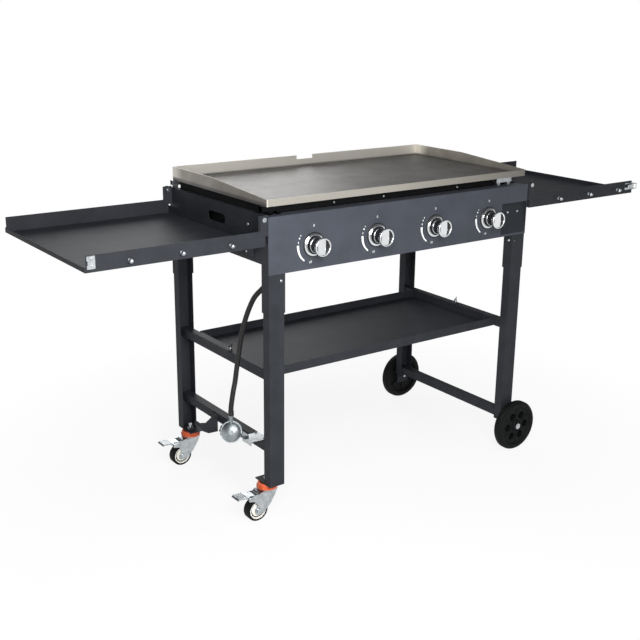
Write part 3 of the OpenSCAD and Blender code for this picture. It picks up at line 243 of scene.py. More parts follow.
def add_node(tree, kind, settings, **links):
    """A shader node with its settings, keyed by socket name, socket number or property. A link is keyed by
    its socket's name, with _ for a space, or by _ and its socket's number."""
    made = tree.nodes.new(kind)
    for key, value in settings.items():
        if isinstance(key, int) or key in made.inputs:
            made.inputs[key].default_value = value
        else:
            setattr(made, key, value)
    for key, source in links.items():
        socket = made.inputs[int(key[1:])] if key[0] == "_" else made.inputs[key.replace("_", " ")]
        tree.links.new(source, socket)
    return made


def new_material(name):
    """A material with an empty node tree, and that tree."""
    made = bpy.data.materials.new(name)
    made.use_nodes = True
    made.node_tree.nodes.clear()
    return made, made.node_tree


def within(tree, where, low, high):
    """1 inside a box and 0 outside it: the product over the axes of |value - middle| < half the size."""
    apart = add_node(tree, "ShaderNodeSeparateXYZ", {}, Vector=where)
    inside = None
    for axis, a, b in zip("XYZ", low, high):
        near = add_node(tree, "ShaderNodeMath", {"operation": "COMPARE", 1: (a + b) / 2, 2: (b - a) / 2},
                        _0=apart.outputs[axis]).outputs[0]
        if inside is None:
            inside = near
            continue
        inside = add_node(tree, "ShaderNodeMath", {"operation": "MULTIPLY"}, _0=inside, _1=near).outputs[0]
    return inside


def surface(name, light, dark, patch, grain, depth, rough, metallic=0.0, shine=0.5, stretch=(1, 1, 1),
            shaded=None):
    """A finish with two close colours in soft patches and a fine grain. patch and grain are in millimetres,
    and so is depth, the grain's height. rough is the lowest and highest roughness, and shine the level of
    the clear reflection. stretch draws the grain out along the axes where it is under 1. shaded gives the
    low and high corner of a box and the colour painted in it as shade."""
    made, tree = new_material(name)
    where = add_node(tree, "ShaderNodeTexCoord", {}).outputs["Object"]
    drawn = add_node(tree, "ShaderNodeMapping", {"Scale": stretch}, Vector=where).outputs["Vector"]
    patches = add_node(tree, "ShaderNodeTexNoise",
                       {"Scale": 1 / (patch * MM), "Detail": 4.0, "Roughness": 0.6},
                       Vector=where).outputs["Fac"]
    fine = add_node(tree, "ShaderNodeTexNoise", {"Scale": 1 / (grain * MM), "Detail": 2.0},
                    Vector=drawn).outputs["Fac"]
    spread = add_node(tree, "ShaderNodeMapRange", {"From Min": NOISE_LOW, "From Max": NOISE_HIGH},
                      Value=patches).outputs["Result"]
    colour = add_node(tree, "ShaderNodeMix", {"data_type": "RGBA", 6: linear(light), 7: linear(dark)},
                      _0=spread).outputs[2]
    if shaded:
        inside = within(tree, where, shaded[0], shaded[1])
        colour = add_node(tree, "ShaderNodeMix", {"data_type": "RGBA", 7: linear(shaded[2])}, _0=inside,
                          _6=colour).outputs[2]
    roughness = add_node(tree, "ShaderNodeMapRange",
                         {"From Min": GRAIN_LOW, "From Max": GRAIN_HIGH,
                          "To Min": rough[0], "To Max": rough[1]},
                         Value=fine).outputs["Result"]
    bump = add_node(tree, "ShaderNodeBump", {"Strength": 1.0, "Distance": depth * MM},
                    Height=fine).outputs["Normal"]
    shader = add_node(tree, "ShaderNodeBsdfPrincipled", {"Metallic": metallic, "Specular IOR Level": shine},
                      Base_Color=colour, Roughness=roughness, Normal=bump)
    add_node(tree, "ShaderNodeOutputMaterial", {}, Surface=shader.outputs["BSDF"])
    return made


# Powder coat bakes to a satin skin with a fine orange peel, about a millimetre from crest to crest
charcoal_coat = surface("charcoal_powder_coat", "#313338", "#2b2d31", 60, 1.1, 0.02, (0.46, 0.6), shine=0.1)
# The control panel has the same powder in a lighter charcoal, smoother; its pocket is painted darker, as
# painted shade in the recess
pocket_painted_shade = cart(357, -262, 701), cart(459, -240, 794), "#272a2e"
panel_coat = surface("panel_powder_coat_painted_pocket_shade", "#464951", "#40434a", 90, 1.1, 0.015, (0.42, 0.52), shine=0.1,
                     shaded=pocket_painted_shade)
# The firebox's near-black colour is painted shade for its set-back band under the griddle; it is matt and
# hardly shines
firebox_painted_shade = surface("firebox_near_black_painted_shade", "#141516", "#0e0f10", 40, 1.0, 0.02, (0.6, 0.75), shine=0.1)
# Bright zinc plate on pressed steel: pale, a little blotchy, with a fine grain
zinc_plate = surface("bright_zinc_plate", "#c3c7c9", "#a3a9ac", 14, 0.8, 0.01, (0.24, 0.38), metallic=1.0)
# The channels under the griddle have the same plate, and the front left one is painted nearly black as
# painted shade
front_left_painted_shade = cart(-480, -250, 840), cart(-380, -200, 870), "#1b1c1e"
channel_zinc_painted_shade = surface("channel_plate_with_painted_shade", "#b4b8ba", "#94999c", 14, 0.8, 0.01, (0.24, 0.38), metallic=1.0,
                       shaded=front_left_painted_shade)
# Die-cast regulator body, greyer and duller than the plate
cast_zinc = surface("die_cast_zinc", "#a2a9ac", "#878e91", 9, 0.9, 0.015, (0.34, 0.46), metallic=1.0)
# Polished chrome plate
chrome_plate = surface("polished_chrome", "#e6e8ea", "#dcdfe1", 30, 2.0, 0.0005, (0.05, 0.09), metallic=1.0)
# Stainless burner tube, tinted straw by heat
burner_steel = surface("heat_tinted_stainless", "#a79f92", "#8a7c68", 45, 0.7, 0.01, (0.28, 0.42),
                       metallic=1.0)
# Moulded black ABS, satin from the tool's texture
black_abs = surface("moulded_black_abs", "#18191b", "#121314", 20, 0.6, 0.012, (0.36, 0.46), shine=0.4)
# Extruded hose rubber, faintly matt with lengthwise drag marks
hose_rubber = surface("extruded_hose_rubber", "#1d1d1e", "#151515", 12, 0.5, 0.012, (0.42, 0.55), shine=0.3,
                      stretch=(1, 1, 0.1))
# Moulded wheel rubber and polypropylene, matt black with a bloom
tyre_rubber = surface("moulded_tyre_rubber", "#121314", "#0c0d0d", 16, 0.7, 0.02, (0.55, 0.72), shine=0.12)
# Cream nylon hub, smooth and slightly glossy
cream_nylon = surface("moulded_cream_nylon", "#f1efe8", "#e8e5da", 10, 0.8, 0.004, (0.32, 0.42))
# Orange polypropylene dust ring
orange_plastic = surface("moulded_orange_plastic", "#d9633a", "#cb5730", 10, 0.8, 0.006, (0.34, 0.44))
# White pad-printed ink, thin and slightly uneven
white_ink = surface("pad_printed_ink", "#eceeee", "#d9dcdd", 4, 0.5, 0.002, (0.45, 0.6))


# Thickness of the griddle's front wall, and the place along it from where painted shade darkens its outside
# towards the right end
FRONT_WALL = 3 * MM
PAINTED_SHADE_FROM = 400 * MM
# Thickness of the griddle's floor, and the height over it at which the seasoning ends
FLOOR_PLATE = 5 * MM
SEASONED_UP_TO = 6 * MM


def griddle_steel():
    """Rolled plate: ground walls, painted brightest at the rear as painted light, with painted shade that
    darkens the outside of the front one towards its right end, and a seasoned, darker cooking floor, told
    apart by height. Fine scratches run along X, about half a millimetre apart, drawn coarser than the real
    ones so that they show."""
    made, tree = new_material("ground_and_seasoned_steel_painted_light")
    where = add_node(tree, "ShaderNodeTexCoord", {}).outputs["Object"]
    apart = add_node(tree, "ShaderNodeSeparateXYZ", {}, Vector=where)
    low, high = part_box("griddle_plate")
    floor_top = low.z + FLOOR_PLATE
    inside = add_node(tree, "ShaderNodeMapRange",
                      {"From Min": floor_top + SEASONED_UP_TO, "From Max": floor_top + 0.5 * MM},
                      Value=apart.outputs["Z"]).outputs["Result"]
    wall_back = low.y + FRONT_WALL
    behind_front = add_node(tree, "ShaderNodeMapRange",
                            {"From Min": wall_back - 0.5 * MM, "From Max": wall_back + 0.5 * MM},
                            Value=apart.outputs["Y"]).outputs["Result"]
    seasoned = add_node(tree, "ShaderNodeMath", {"operation": "MULTIPLY"}, _0=inside,
                        _1=behind_front).outputs[0]
    cloud = add_node(tree, "ShaderNodeTexNoise", {"Scale": 9.0, "Detail": 6.0, "Roughness": 0.65},
                     Vector=where).outputs["Fac"]
    drawn = add_node(tree, "ShaderNodeMapping", {"Scale": (0.04, 1.0, 1.0)}, Vector=where).outputs["Vector"]
    scratch = add_node(tree, "ShaderNodeTexNoise", {"Scale": 1600.0, "Detail": 3.0},
                       Vector=drawn).outputs["Fac"]
    cloudy = add_node(tree, "ShaderNodeMapRange", {"From Min": NOISE_LOW, "From Max": NOISE_HIGH},
                      Value=cloud).outputs["Result"]
    wall = add_node(tree, "ShaderNodeMix",
                    {"data_type": "RGBA", 6: linear("#a5a199"), 7: linear("#8d8981")},
                    _0=cloudy).outputs[2]
    # The walls are painted brighter towards the rear: painted light on the back wall.
    rear_painted_light = add_node(tree, "ShaderNodeMapRange",
                        {"From Min": high.y - 60 * MM, "From Max": high.y - 20 * MM},
                        Value=apart.outputs["Y"]).outputs["Result"]
    wall = add_node(tree, "ShaderNodeMix", {"data_type": "RGBA", 7: linear("#d3cfc7")}, _0=rear_painted_light,
                    _6=wall).outputs[2]
    # The outside of the front wall darkens towards its right end: painted shade.
    front_painted_shade = add_node(tree, "ShaderNodeMapRange", {"From Min": low.x + PAINTED_SHADE_FROM, "From Max": high.x},
                    Value=apart.outputs["X"]).outputs["Result"]
    front = add_node(tree, "ShaderNodeMix",
                     {"data_type": "RGBA", 6: linear("#aaa69e"), 7: linear("#77746d")},
                     _0=front_painted_shade).outputs[2]
    wall = add_node(tree, "ShaderNodeMix", {"data_type": "RGBA"}, _0=behind_front, _6=front,
                    _7=wall).outputs[2]
    floor = add_node(tree, "ShaderNodeMix",
                     {"data_type": "RGBA", 6: linear("#7b7976"), 7: linear("#646260")},
                     _0=cloudy).outputs[2]
    colour = add_node(tree, "ShaderNodeMix", {"data_type": "RGBA"}, _0=seasoned, _6=wall,
                      _7=floor).outputs[2]
    roughness = add_node(tree, "ShaderNodeMapRange",
                         {"From Min": GRAIN_LOW, "From Max": GRAIN_HIGH, "To Min": 0.38, "To Max": 0.56},
                         Value=scratch).outputs["Result"]
    bump = add_node(tree, "ShaderNodeBump", {"Strength": 0.6, "Distance": 0.02 * MM},
                    Height=scratch).outputs["Normal"]
    shader = add_node(tree, "ShaderNodeBsdfPrincipled", {"Metallic": 0.75}, Base_Color=colour,
                      Roughness=roughness, Normal=bump)
    add_node(tree, "ShaderNodeOutputMaterial", {}, Surface=shader.outputs["BSDF"])
    return made


plate_steel = griddle_steel()

FINISH_OF_SLOT = {
    "coat": charcoal_coat,
    "panel_coat": panel_coat,
    "plate_steel": plate_steel,
    "zinc": zinc_plate,
    "chrome": chrome_plate,
    "black_plastic": black_abs,
    "hose_rubber": hose_rubber,
    "tyre_rubber": tyre_rubber,
    "cream_plastic": cream_nylon,
    "orange_plastic": orange_plastic,
}
FINISH_OF_NODE = {
    "burners": burner_steel,
    "griddle_posts": channel_zinc_painted_shade,
    "regulator": cast_zinc,
    "firebox": firebox_painted_shade,
}


def dress_nodes():
    """Each CAD node takes its own finish, or else that of its record slot."""
    for part in frame["record"]["subparts"]:
        node = frame["nodes"][part["node"]]
        finish = FINISH_OF_NODE.get(part["node"], FINISH_OF_SLOT[part["material_slot"]])
        node.data.materials.clear()
        node.data.materials.append(finish)


dress_nodes()

# Gas hose, along the route of the CAD solid, in millimetres from the cart's middle
HOSE_RADIUS = 7 * MM
HOSE_ROUTE = np.array([
    (-402, -216, 686), (-408, -199, 668), (-414, -182, 650), (-421, -164, 631), (-428, -142, 607),
    (-434, -128, 579), (-440, -118, 549), (-446, -112, 519), (-451, -108, 490), (-455, -106, 461),
    (-459, -104, 430), (-463, -102, 398), (-468, -102, 366), (-476, -105, 340), (-482, -107, 315),
    (-486, -108, 293), (-486, -108, 271)], float) * MM + CART_MIDDLE


def smooth_path(points, steps):
    """A Catmull-Rom curve through the points: each span is a cubic whose ends take half the step between
    their neighbours as slope."""
    padded = np.concatenate([2 * points[:1] - points[1:2], points, 2 * points[-1:] - points[-2:-1]])
    t = np.linspace(0, 1, steps, endpoint=False)[:, None]
    spans = []
    for a, b, c, d in zip(padded[:-3], padded[1:-2], padded[2:-1], padded[3:]):
        spans.append(0.5 * (2 * b + (c - a) * t + (2 * a - 5 * b + 4 * c - d) * t ** 2
                            + (3 * b - a - 3 * c + d) * t ** 3))
    return np.concatenate(spans + [points[-1:]])


def crimp(path, start, length, swell, nips):
    """A sleeve pressed on the hose from start, which counts back from the far end where it is below 0: its
    radius is the hose's plus swell, less 0.4 swell cos(2 pi nips share) ** 8 where it is nipped."""
    along = np.concatenate([[0], np.cumsum(np.linalg.norm(np.diff(path, axis=0), axis=1))])
    if start < 0:
        start = along[-1] + start
    s = np.linspace(start, start + length, 30)
    line = np.stack([np.interp(s, along, path[:, k]) for k in range(3)], -1)
    share = (s - start) / length
    radius = HOSE_RADIUS + swell - 0.4 * swell * np.cos(share * 2 * nips * math.pi) ** 8
    return tube(line, radius, 24)


def make_hose():
    """The hose along its route, with a sleeve pressed on it at each end."""
    path = smooth_path(HOSE_ROUTE, 8)
    hose = piece("gas_hose_tube", tube(path, HOSE_RADIUS, 20), hose_rubber, "cart")
    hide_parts("gas_hose")
    top_sleeve = crimp(path, 1 * MM, 24 * MM, 1.9 * MM, 4)
    bottom_sleeve = crimp(path, -14 * MM, 13 * MM, 0.9 * MM, 2)
    sleeves = [piece("hose_crimp_top", top_sleeve, zinc_plate, "cart"),
               piece("hose_crimp_bottom", bottom_sleeve, black_abs, "cart")]


make_hose()


# Knobs: a fluted black barrel with a chrome ring and a wide chrome grip across a dark dish, a little to the
# left of its middle
KNOB_NAMES = ["knob_1", "knob_2", "knob_3", "knob_4"]
KNOB_RIM = 24.3 * MM
KNOB_SKIRT = 22 * MM
KNOB_WAIST = 18 * MM
KNOB_DISH = 23.7 * MM
KNOB_DEPTH = 39.5 * MM
KNOB_BARREL = [
    (0, 0), (KNOB_SKIRT - 1 * MM, 0), (KNOB_SKIRT, 1 * MM), (KNOB_SKIRT, 5 * MM),
    (KNOB_SKIRT - 3 * MM, 9 * MM), (KNOB_WAIST, 12 * MM), (KNOB_WAIST, 22 * MM),
    (KNOB_WAIST + 1 * MM, KNOB_DEPTH - 12 * MM), (KNOB_RIM - 1.5 * MM, KNOB_DEPTH - 7 * MM),
    (KNOB_DISH, KNOB_DEPTH - 6 * MM), (KNOB_DISH, KNOB_DEPTH - 4 * MM), (0, KNOB_DEPTH - 4 * MM)]
KNOB_FLUTES = 24
FORWARDS = (0, -1, 0)


def knob_axis(name):
    """The middle of a knob in X and Z, and the place of its face in Y."""
    low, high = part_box(name)
    return (low.x + high.x) / 2, (low.z + high.z) / 2, low.y


def flutes(angle, height):
    """Grip flutes half a millimetre deep, fading out towards both ends of the waist."""
    rise = np.clip((height - 11 * MM) / (4 * MM), 0, 1)
    fall = np.clip((KNOB_DEPTH - 9 * MM - height) / (4 * MM), 0, 1)
    return 0.5 * MM * rise * fall * np.cos(KNOB_FLUTES * angle)


def in_short_steps(profile, longest):
    """A profile with points added evenly on each line of it, about longest apart."""
    fine = profile[:1]
    for a, b in zip(profile[:-1], profile[1:]):
        steps = max(1, int(math.dist(a, b) / longest))
        for k in range(1, steps + 1):
            fine.append((a[0] + (b[0] - a[0]) * k / steps, a[1] + (b[1] - a[1]) * k / steps))
    return fine


def knob_ring():
    """The cap's ring: a boxy section, with its width and height as sign(c) |c| ** 0.6 of cosine and sine."""
    angle = np.linspace(0, 2 * math.pi, 24, endpoint=False)
    cosine, sine = np.cos(angle), np.sin(angle)
    across = KNOB_RIM - 2.2 * MM + 2.2 * MM * np.sign(cosine) * np.abs(cosine) ** 0.6
    along = KNOB_DEPTH - 4 * MM + 3.9 * MM * np.sign(sine) * np.abs(sine) ** 0.6
    return turned_ring(np.stack([across, along], -1))


def knob_grip():
    """The cap's grip: a bar whose ends follow a circle inside the rim, and whose top falls off as the sixth
    power of its width and the square of its length."""
    rows, columns = 25, 33
    u, v = np.meshgrid(np.linspace(-1, 1, rows), np.linspace(-1, 1, columns), indexing="ij")
    across = 12.5 * MM * u - 3.5 * MM
    half_length = np.sqrt(np.clip((KNOB_RIM - 2.8 * MM) ** 2 - across ** 2, 0, None))
    top = KNOB_DEPTH - 1.0 * MM - 2.0 * MM * np.abs(u) ** 6 - 0.8 * MM * v ** 2
    bar = np.stack([across, v * half_length, top], -1)
    edge = np.concatenate([bar[0], bar[1:, -1], bar[-1, ::-1][1:], bar[::-1, 0][1:-1]])
    foot, edge_foot = bar.copy(), edge.copy()
    foot[..., 2] = KNOB_DEPTH - 5 * MM
    edge_foot[:, 2] = KNOB_DEPTH - 5 * MM
    sides = np.stack([edge_foot, edge]).reshape(-1, 3), grid_faces(2, len(edge), close_columns=True)
    faces = grid_faces(rows, columns)
    return together([(bar.reshape(-1, 3), faces), sides, (foot.reshape(-1, 3), faces)])


def make_knob(name):
    """The barrel, and the cap with its ring, its grip and a small ring at its root."""
    x, z, face = knob_axis(name)
    root = (x, face + KNOB_DEPTH, z)
    body = turned(in_short_steps(KNOB_BARREL, 1.5 * MM), 144, flutes)
    barrel = piece(name + "_barrel", placed(body, root, FORWARDS), black_abs, name)
    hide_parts(name)
    root_ring = ring_of(19.6 * MM, 0.9 * MM, 1.2 * MM)
    cap = together([placed(knob_ring(), root, FORWARDS), placed(knob_grip(), root, FORWARDS),
                    placed(root_ring, (x, face + KNOB_DEPTH - 8.2 * MM, z), FORWARDS)])
    piece(name + "_cap", cap, chrome_plate, name)


for knob_name in KNOB_NAMES:
    make_knob(knob_name)


# Bezels: a black lip round a chrome cone of about 24 degrees, with a narrow rounded crest at its top. Their
# sections are in millimetres.
BEZEL_LIP = [(30, 0), (33, 0), (33, 1.4), (32.2, 2.2), (31.2, 2.4), (30, 2.4)]
BEZEL_CREST = [(25.2 + 1.1 * math.cos(t), 5.4 + 1.1 * math.sin(t))
               for t in np.radians(np.arange(0, 181, 20))]
BEZEL_OUTSIDE = [(23.9, 0), (30.4, 0), (30.4, 1.9), (26.5, 3.6), (26.3, 3.8)]
BEZEL_INSIDE = [(24.1, 3), (23.9, 2.5)]
BEZEL_CONE = BEZEL_OUTSIDE + BEZEL_CREST + BEZEL_INSIDE


def make_bezels():
    """One piece of the four chrome cones and one of the four black lips."""
    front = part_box("control_panel")[0].y
    lips, cones = [], []
    for knob in KNOB_NAMES:
        x, z, _ = knob_axis(knob)
        for section, shapes in ((BEZEL_LIP, lips), (BEZEL_CONE, cones)):
            shapes.append(placed(turned_ring(np.array(section) * MM, 128), (x, front, z), FORWARDS))
    rings = piece("bezel_rings", together(cones), chrome_plate, "cart")
    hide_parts("knob_bezels")
    piece("bezel_lips", together(lips), black_abs, "cart")


make_bezels()

# Print round each knob: a white arc that narrows, three dashes and plain numbers
DIAL_RADIUS = 49.5 * MM
INK_THICKNESS = 0.15 * MM
NUMBER_SIZE = 9.5 * MM
# Start and end in degrees, width at both in millimetres, and steps
DIAL_STROKES = [(177, 233, 7, 3.6, 40), (165, 171, 2, 2, 8), (153, 157.5, 3.8, 3.8, 8), (144, 148, 2, 2, 8)]


def ribbon(radius, start, end, width_start, width_end, thickness, steps):
    """A flat band on a circle: width and angle run evenly from one end to the other."""
    t = np.linspace(0, 1, steps)
    angle = np.radians(start + (end - start) * t)
    half = (width_start + (width_end - width_start) * t) / 2
    outer = np.stack([(radius + half) * np.cos(angle), (radius + half) * np.sin(angle)], -1)
    inner = np.stack([(radius - half) * np.cos(angle), (radius - half) * np.sin(angle)], -1)
    return slab(np.concatenate([outer, inner[::-1]]), 0, thickness)


def number(text, size, origin, name):
    """A plain number drawn flat against the panel, upright and facing forwards, as a mesh."""
    curve = bpy.data.curves.new(name, "FONT")
    curve.body = text
    curve.size = size
    curve.align_x = "CENTER"
    curve.align_y = "CENTER"
    curve.extrude = INK_THICKNESS / 2
    letter = bpy.data.objects.new(name, curve)
    bpy.context.scene.collection.objects.link(letter)
    bpy.context.view_layer.update()
    mesh = bpy.data.meshes.new_from_object(letter)
    bpy.data.objects.remove(letter)
    mesh.transform(Matrix.Translation(origin) @ Matrix.Rotation(math.pi / 2, 4, "X"))
    mesh.materials.clear()
    mesh.materials.append(white_ink)
    made = bpy.data.objects.new(name, mesh)
    bpy.context.scene.collection.objects.link(made)
    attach(made, "cart")
    return made


def make_dial(index, knob):
    """The strokes and numbers round one knob, flat on the control panel."""
    x, z, _ = knob_axis(knob)
    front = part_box("control_panel")[0].y
    strokes = [ribbon(DIAL_RADIUS, start, end, first * MM, last * MM, INK_THICKNESS, steps)
               for start, end, first, last, steps in DIAL_STROKES]
    marks = placed(together(strokes), (x, front, z), FORWARDS)
    piece(f"dial_marks_{index}", marks, white_ink, "cart")
    ink_at = front - INK_THICKNESS / 2
    number("0", NUMBER_SIZE, (x, ink_at, z + DIAL_RADIUS), f"dial_zero_{index}")
    number("10", NUMBER_SIZE, (x - 11 * MM, ink_at, z - DIAL_RADIUS + 4 * MM), f"dial_ten_{index}")


for dial_index, knob_name in enumerate(KNOB_NAMES, 1):
    make_dial(dial_index, knob_name)


# Screws: a domed head with a cross recess in place of each plain CAD head
SHANK_RADIUS = 2 * MM
HEAD_HEIGHT = 2.2 * MM


def solids_of(node):
    """The separate solids of a CAD node, each as an array of its points."""
    work = bmesh_of(frame["nodes"][node].data)
    left = set(work.verts)
    found = []
    while left:
        reached = {left.pop()}
        edge = list(reached)
        while edge:
            nearby = {e.other_vert(v) for v in edge for e in v.link_edges} - reached
            reached |= nearby
            edge = list(nearby)
        left -= reached
        found.append(np.array([v.co for v in reached]))
    work.free()
    return sorted(found, key=lambda points: tuple(points.min(0).round(4)))


def axis_of(points):
    """The middle of the underside of a screw's head, the screw's direction and the head's radius: the axis
    is the odd one out of its three extents, and the head is at the end nearest to the widest points."""
    low, high = points.min(0), points.max(0)
    size = high - low
    gaps = [abs(size[(k + 1) % 3] - size[(k + 2) % 3]) for k in range(3)]
    k = int(np.argmin(gaps))
    middle = (low + high) / 2
    out = np.delete(points - middle, k, axis=1)
    reach = np.linalg.norm(out, axis=1)
    wide = points[reach > 0.9 * reach.max()]
    direction = np.zeros(3)
    direction[k] = 1.0 if wide[:, k].mean() > middle[k] else -1.0
    under = middle.copy()
    under[k] = wide[:, k].min() if direction[k] > 0 else wide[:, k].max()
    return under, direction, float(reach.max())


def pan_head(radius, height, turn):
    """A head whose height falls off as the fourth power of the radius, with a cross pressed into it: two
    crossing slots as long as the head's radius, whose floor slopes up from the middle."""
    rings, sides = 14, 64
    r = np.linspace(0, 1, rings)[:, None]
    angle = (np.arange(sides) * 2 * math.pi / sides)[None, :]
    x, y = r * np.cos(angle - turn), r * np.sin(angle - turn)
    z = height * (1 - 0.75 * r ** 4)
    arm = np.minimum(np.abs(x) + 0.35 * np.abs(y), np.abs(y) + 0.35 * np.abs(x))
    pressed = np.clip((0.26 - arm) / 0.08, 0, 1) * np.clip((0.62 - r) / 0.1, 0, 1)
    z = z - pressed * 0.75 * height * (1 - 0.6 * r)
    points = np.stack([radius * r * np.cos(angle), radius * r * np.sin(angle), z], -1)
    foot = np.stack([radius * np.cos(angle), radius * np.sin(angle), 0 * angle], -1)
    close = np.zeros((1, sides, 3))
    points = np.concatenate([points, foot, close]).reshape(-1, 3)
    return points, grid_faces(rings + 2, sides, close_columns=True)


def make_screws():
    """All screws as one piece, each with its cross turned a little further than the one before."""
    shapes = []
    for count, points in enumerate(solids_of("frame_screws")):
        under, direction, radius = axis_of(points)
        across = (0, 0, 1) if abs(direction[2]) < 0.5 else (1, 0, 0)
        depth = np.ptp(points @ direction) - HEAD_HEIGHT
        shapes.append(placed(pan_head(radius, HEAD_HEIGHT, 0.7 * count), under, direction, across))
        shank = [(0, 0), (SHANK_RADIUS, 0), (SHANK_RADIUS, depth), (0, depth)]
        shapes.append(placed(turned(shank, 16), under - direction * depth, direction, across))
    screws = piece("cross_head_screws", together(shapes), zinc_plate, "cart")
    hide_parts("frame_screws")


make_screws()

# Big wheels: moulded ribs, a ring of small pads and two ridges on the tread, over the CAD wheel
WHEEL_SPOKES = 6
WHEEL_PADS = 36


def rounded_bar(length, width, height):
    """A bar along X, whose height is a half ellipse across it and fades as the sixth power to its ends."""
    rows, columns = 13, 9
    u, v = np.meshgrid(np.linspace(-1, 1, rows), np.linspace(-1, 1, columns), indexing="ij")
    z = height * np.sqrt(np.clip(1 - v ** 2, 0, 1)) * (1 - u ** 6)
    top = np.stack([length / 2 * u, width / 2 * v, z], -1)
    bottom = top * (1, 1, 0)
    points = np.concatenate([top.reshape(-1, 3), bottom.reshape(-1, 3)])
    faces = grid_faces(rows, columns)
    below = [[i + rows * columns for i in face][::-1] for face in faces]
    return points, faces + below


def dress_wheel(node, outward):
    """Both faces of a wheel get spokes and a ring on the web, and pads near the rim, and its tread gets two
    ridges. web is how far the web lies under the face, and outward the side in Y of the outer face."""
    low, high = (np.array(c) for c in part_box(node))
    middle = (low + high) / 2
    radius = (high[0] - low[0]) / 2
    outer, inner = (low[1], high[1]) if outward < 0 else (high[1], low[1])
    shapes = []
    for side, at, web in ((outward, outer, 4 * MM), (-outward, inner, 8 * MM)):
        normal = np.array([0.0, side, 0.0])
        centre = np.array([middle[0], at, middle[2]])
        web_at = centre - normal * web
        for k in range(WHEEL_SPOKES):
            angle = (k + 0.5) * 2 * math.pi / WHEEL_SPOKES
            along = np.array([math.cos(angle), 0, math.sin(angle)])
            spoke = rounded_bar(radius - 34 * MM, 5 * MM, 0.6 * web)
            shapes.append(placed(spoke, web_at + along * (radius + 11 * MM) / 2, normal, along))
        for k in range(WHEEL_PADS):
            angle = k * 2 * math.pi / WHEEL_PADS
            along = np.array([math.cos(angle), 0, math.sin(angle)])
            pad = rounded_bar(5 * MM, 6.4 * MM, 1.2 * MM)
            pad_at = centre - normal * 1.6 * MM + along * (radius - 15.5 * MM)
            shapes.append(placed(pad, pad_at, normal, along))
        shapes.append(placed(ring_of(18 * MM, 1.6 * MM, 2.4 * MM), web_at, normal))
    for share in (-0.22, 0.22):
        at = np.array([middle[0], middle[1] + share * (high[1] - low[1]), middle[2]])
        shapes.append(placed(ring_of(radius - 1.1 * MM, 1 * MM, 1.4 * MM), at, (0, 1, 0)))
    piece(node + "_ribs", together(shapes), tyre_rubber, node)


dress_wheel("front_wheel", -1)
dress_wheel("rear_wheel", 1)


# Caster hubs: a raised rim, a ring groove with a black seal in it, a flat disc and a boss round the axle,
# the same on both faces. Sizes here are in millimetres.
AXLE_BORE = 4.2
GROOVE_MIDDLE = 5
SEAL_DEPTH = 4.4


def make_hub(caster):
    """The hub turned from one section about the axle, and its two seals."""
    node = caster + "_hub"
    low, high = (np.array(c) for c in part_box(node))
    reach = (high[0] - low[0]) / 2 / MM
    half = (high[1] - low[1]) / 2 / MM
    face = [(AXLE_BORE, half), (9.5, half), (11, half - 2), (reach - 8, half - 2.5),
            (reach - 6.8, half - 3.2), (reach - 6.2, half - 7.5), (reach - 3.8, half - 7.5),
            (reach - 3.2, half - 1.6), (reach - 2.4, half - 0.5), (reach, half - 0.5)]
    section = np.array(face + [(r, -h) for r, h in face[::-1]]) * MM
    middle = (low + high) / 2
    hub = piece(node + "_moulding", placed(turned_ring(section), middle, (0, 1, 0)), cream_nylon,
                caster + "_wheel")
    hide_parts(node)
    seals = []
    for side in (-1, 1):
        at = middle + np.array([0, side * (half - SEAL_DEPTH), 0]) * MM
        seal = ring_of((reach - GROOVE_MIDDLE) * MM, 1.25 * MM, 1 * MM)
        seals.append(placed(seal, at, (0, side, 0)))
    piece(caster + "_seals", together(seals), tyre_rubber, caster + "_wheel")


make_hub("front_caster")
make_hub("rear_caster")


# Floor, backdrop and lights. The floor is a disc, with its radius in metres.
FLOOR_RADIUS = 14
FLOOR_SIDES = 96


def make_stage():
    """A wide pale floor that keeps the shadow near the cart and fades to white away from it."""
    made, tree = new_material("studio_floor")
    where = add_node(tree, "ShaderNodeTexCoord", {}).outputs["Object"]
    far = add_node(tree, "ShaderNodeVectorMath", {"operation": "LENGTH"}, _0=where).outputs["Value"]
    fade = add_node(tree, "ShaderNodeMapRange",
                    {"From Min": 0.4, "From Max": 1.3, "To Min": 0.86, "To Max": 1.0},
                    Value=far).outputs["Result"]
    seen = add_node(tree, "ShaderNodeLightPath", {})
    eye = add_node(tree, "ShaderNodeMath", {"operation": "MAXIMUM"}, _0=seen.outputs["Is Camera Ray"],
                   _1=seen.outputs["Is Glossy Ray"]).outputs[0]
    eye = add_node(tree, "ShaderNodeMath", {"operation": "MAXIMUM"}, _0=eye,
                   _1=seen.outputs["Is Transmission Ray"]).outputs[0]
    share = add_node(tree, "ShaderNodeMath", {"operation": "MULTIPLY"}, _0=fade, _1=eye).outputs[0]
    pale = add_node(tree, "ShaderNodeBsdfDiffuse", {"Color": linear("#f4f4f3")})
    white = add_node(tree, "ShaderNodeEmission", {"Color": (1, 1, 1, 1), "Strength": 1.0})
    mixed = add_node(tree, "ShaderNodeMixShader", {}, _0=share, _1=pale.outputs[0], _2=white.outputs[0])
    add_node(tree, "ShaderNodeOutputMaterial", {}, Surface=mixed.outputs[0])
    angle = np.arange(FLOOR_SIDES) * 2 * math.pi / FLOOR_SIDES
    mesh = bpy.data.meshes.new("studio_floor")
    rim = np.stack([FLOOR_RADIUS * np.cos(angle), FLOOR_RADIUS * np.sin(angle), np.zeros(FLOOR_SIDES)], -1)
    mesh.from_pydata(rim.tolist(), [], [list(range(FLOOR_SIDES))])
    mesh.materials.append(made)
    floor = bpy.data.objects.new("studio_floor", mesh)
    bpy.context.scene.collection.objects.link(floor)


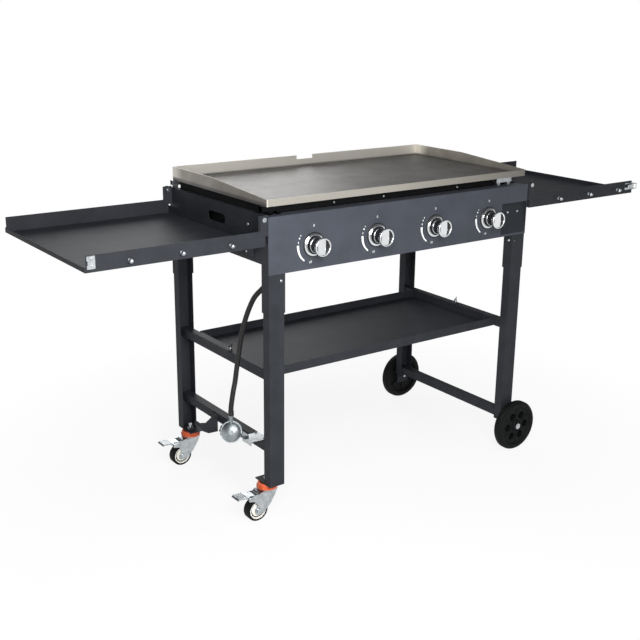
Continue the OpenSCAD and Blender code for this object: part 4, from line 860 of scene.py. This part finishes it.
def make_world():
    """White for the camera. As light it is strongest from the front, the side of -Y, weaker from behind and
    dim from above: each factor falls evenly with the direction's Y and Z. Glossy rays see a white backdrop
    that stands a little over the horizon, under a dark ceiling."""
    world = bpy.data.worlds.new("studio")
    bpy.context.scene.world = world
    world.use_nodes = True
    tree = world.node_tree
    tree.nodes.clear()
    seen = add_node(tree, "ShaderNodeLightPath", {})
    direction = add_node(tree, "ShaderNodeTexCoord", {}).outputs["Generated"]
    apart = add_node(tree, "ShaderNodeSeparateXYZ", {}, Vector=direction)
    front = add_node(tree, "ShaderNodeMapRange",
                     {"From Min": -1.0, "From Max": 0.6, "To Min": 0.24, "To Max": 0.14},
                     Value=apart.outputs["Y"]).outputs["Result"]
    above = add_node(tree, "ShaderNodeMapRange",
                     {"From Min": 0.0, "From Max": 1.0, "To Min": 1.0, "To Max": 0.6},
                     Value=apart.outputs["Z"]).outputs["Result"]
    share = add_node(tree, "ShaderNodeMath", {"operation": "MULTIPLY"}, _0=front, _1=above).outputs[0]
    backdrop = add_node(tree, "ShaderNodeMapRange",
                        {"From Min": 0.05, "From Max": 0.3, "To Min": 1.0, "To Max": 0.14},
                        Value=apart.outputs["Z"]).outputs["Result"]
    share = add_node(tree, "ShaderNodeMix", {}, _0=seen.outputs["Is Glossy Ray"], _2=share,
                     _3=backdrop).outputs[0]
    soft = add_node(tree, "ShaderNodeBackground", {"Color": (1, 1, 1, 1)}, Strength=share)
    white = add_node(tree, "ShaderNodeBackground", {"Color": (1, 1, 1, 1), "Strength": 1.0})
    mixed = add_node(tree, "ShaderNodeMixShader", {}, _0=seen.outputs["Is Camera Ray"], _1=soft.outputs[0],
                     _2=white.outputs[0])
    add_node(tree, "ShaderNodeOutputWorld", {}, Surface=mixed.outputs[0])


def make_lamp(name, at, aim, size, power):
    """A square area lamp, aimed from one point at another. size is its side and power is in watts."""
    data = bpy.data.lights.new(name, "AREA")
    data.shape = "SQUARE"
    data.size = size
    data.energy = power
    lamp = bpy.data.objects.new(name, data)
    lamp.visible_camera = False
    bpy.context.scene.collection.objects.link(lamp)
    direction = Vector(aim) - Vector(at)
    lamp.matrix_world = Matrix.Translation(at) @ direction.to_track_quat("-Z", "Y").to_matrix().to_4x4()


make_stage()
make_world()
make_lamp("key_lamp", (-0.95, -1.6, 1.3), (-0.3, 0, 0.75), 1.1, 46)
make_lamp("top_lamp", (-0.6, -1.2, 3.4), (0, 0, 0.7), 2.0, 18)
make_lamp("back_lamp", (0.9, 2.8, 1.7), (0, 0, 0.6), 1.8, 30)
bpy.context.scene.view_settings.view_transform = "Standard"
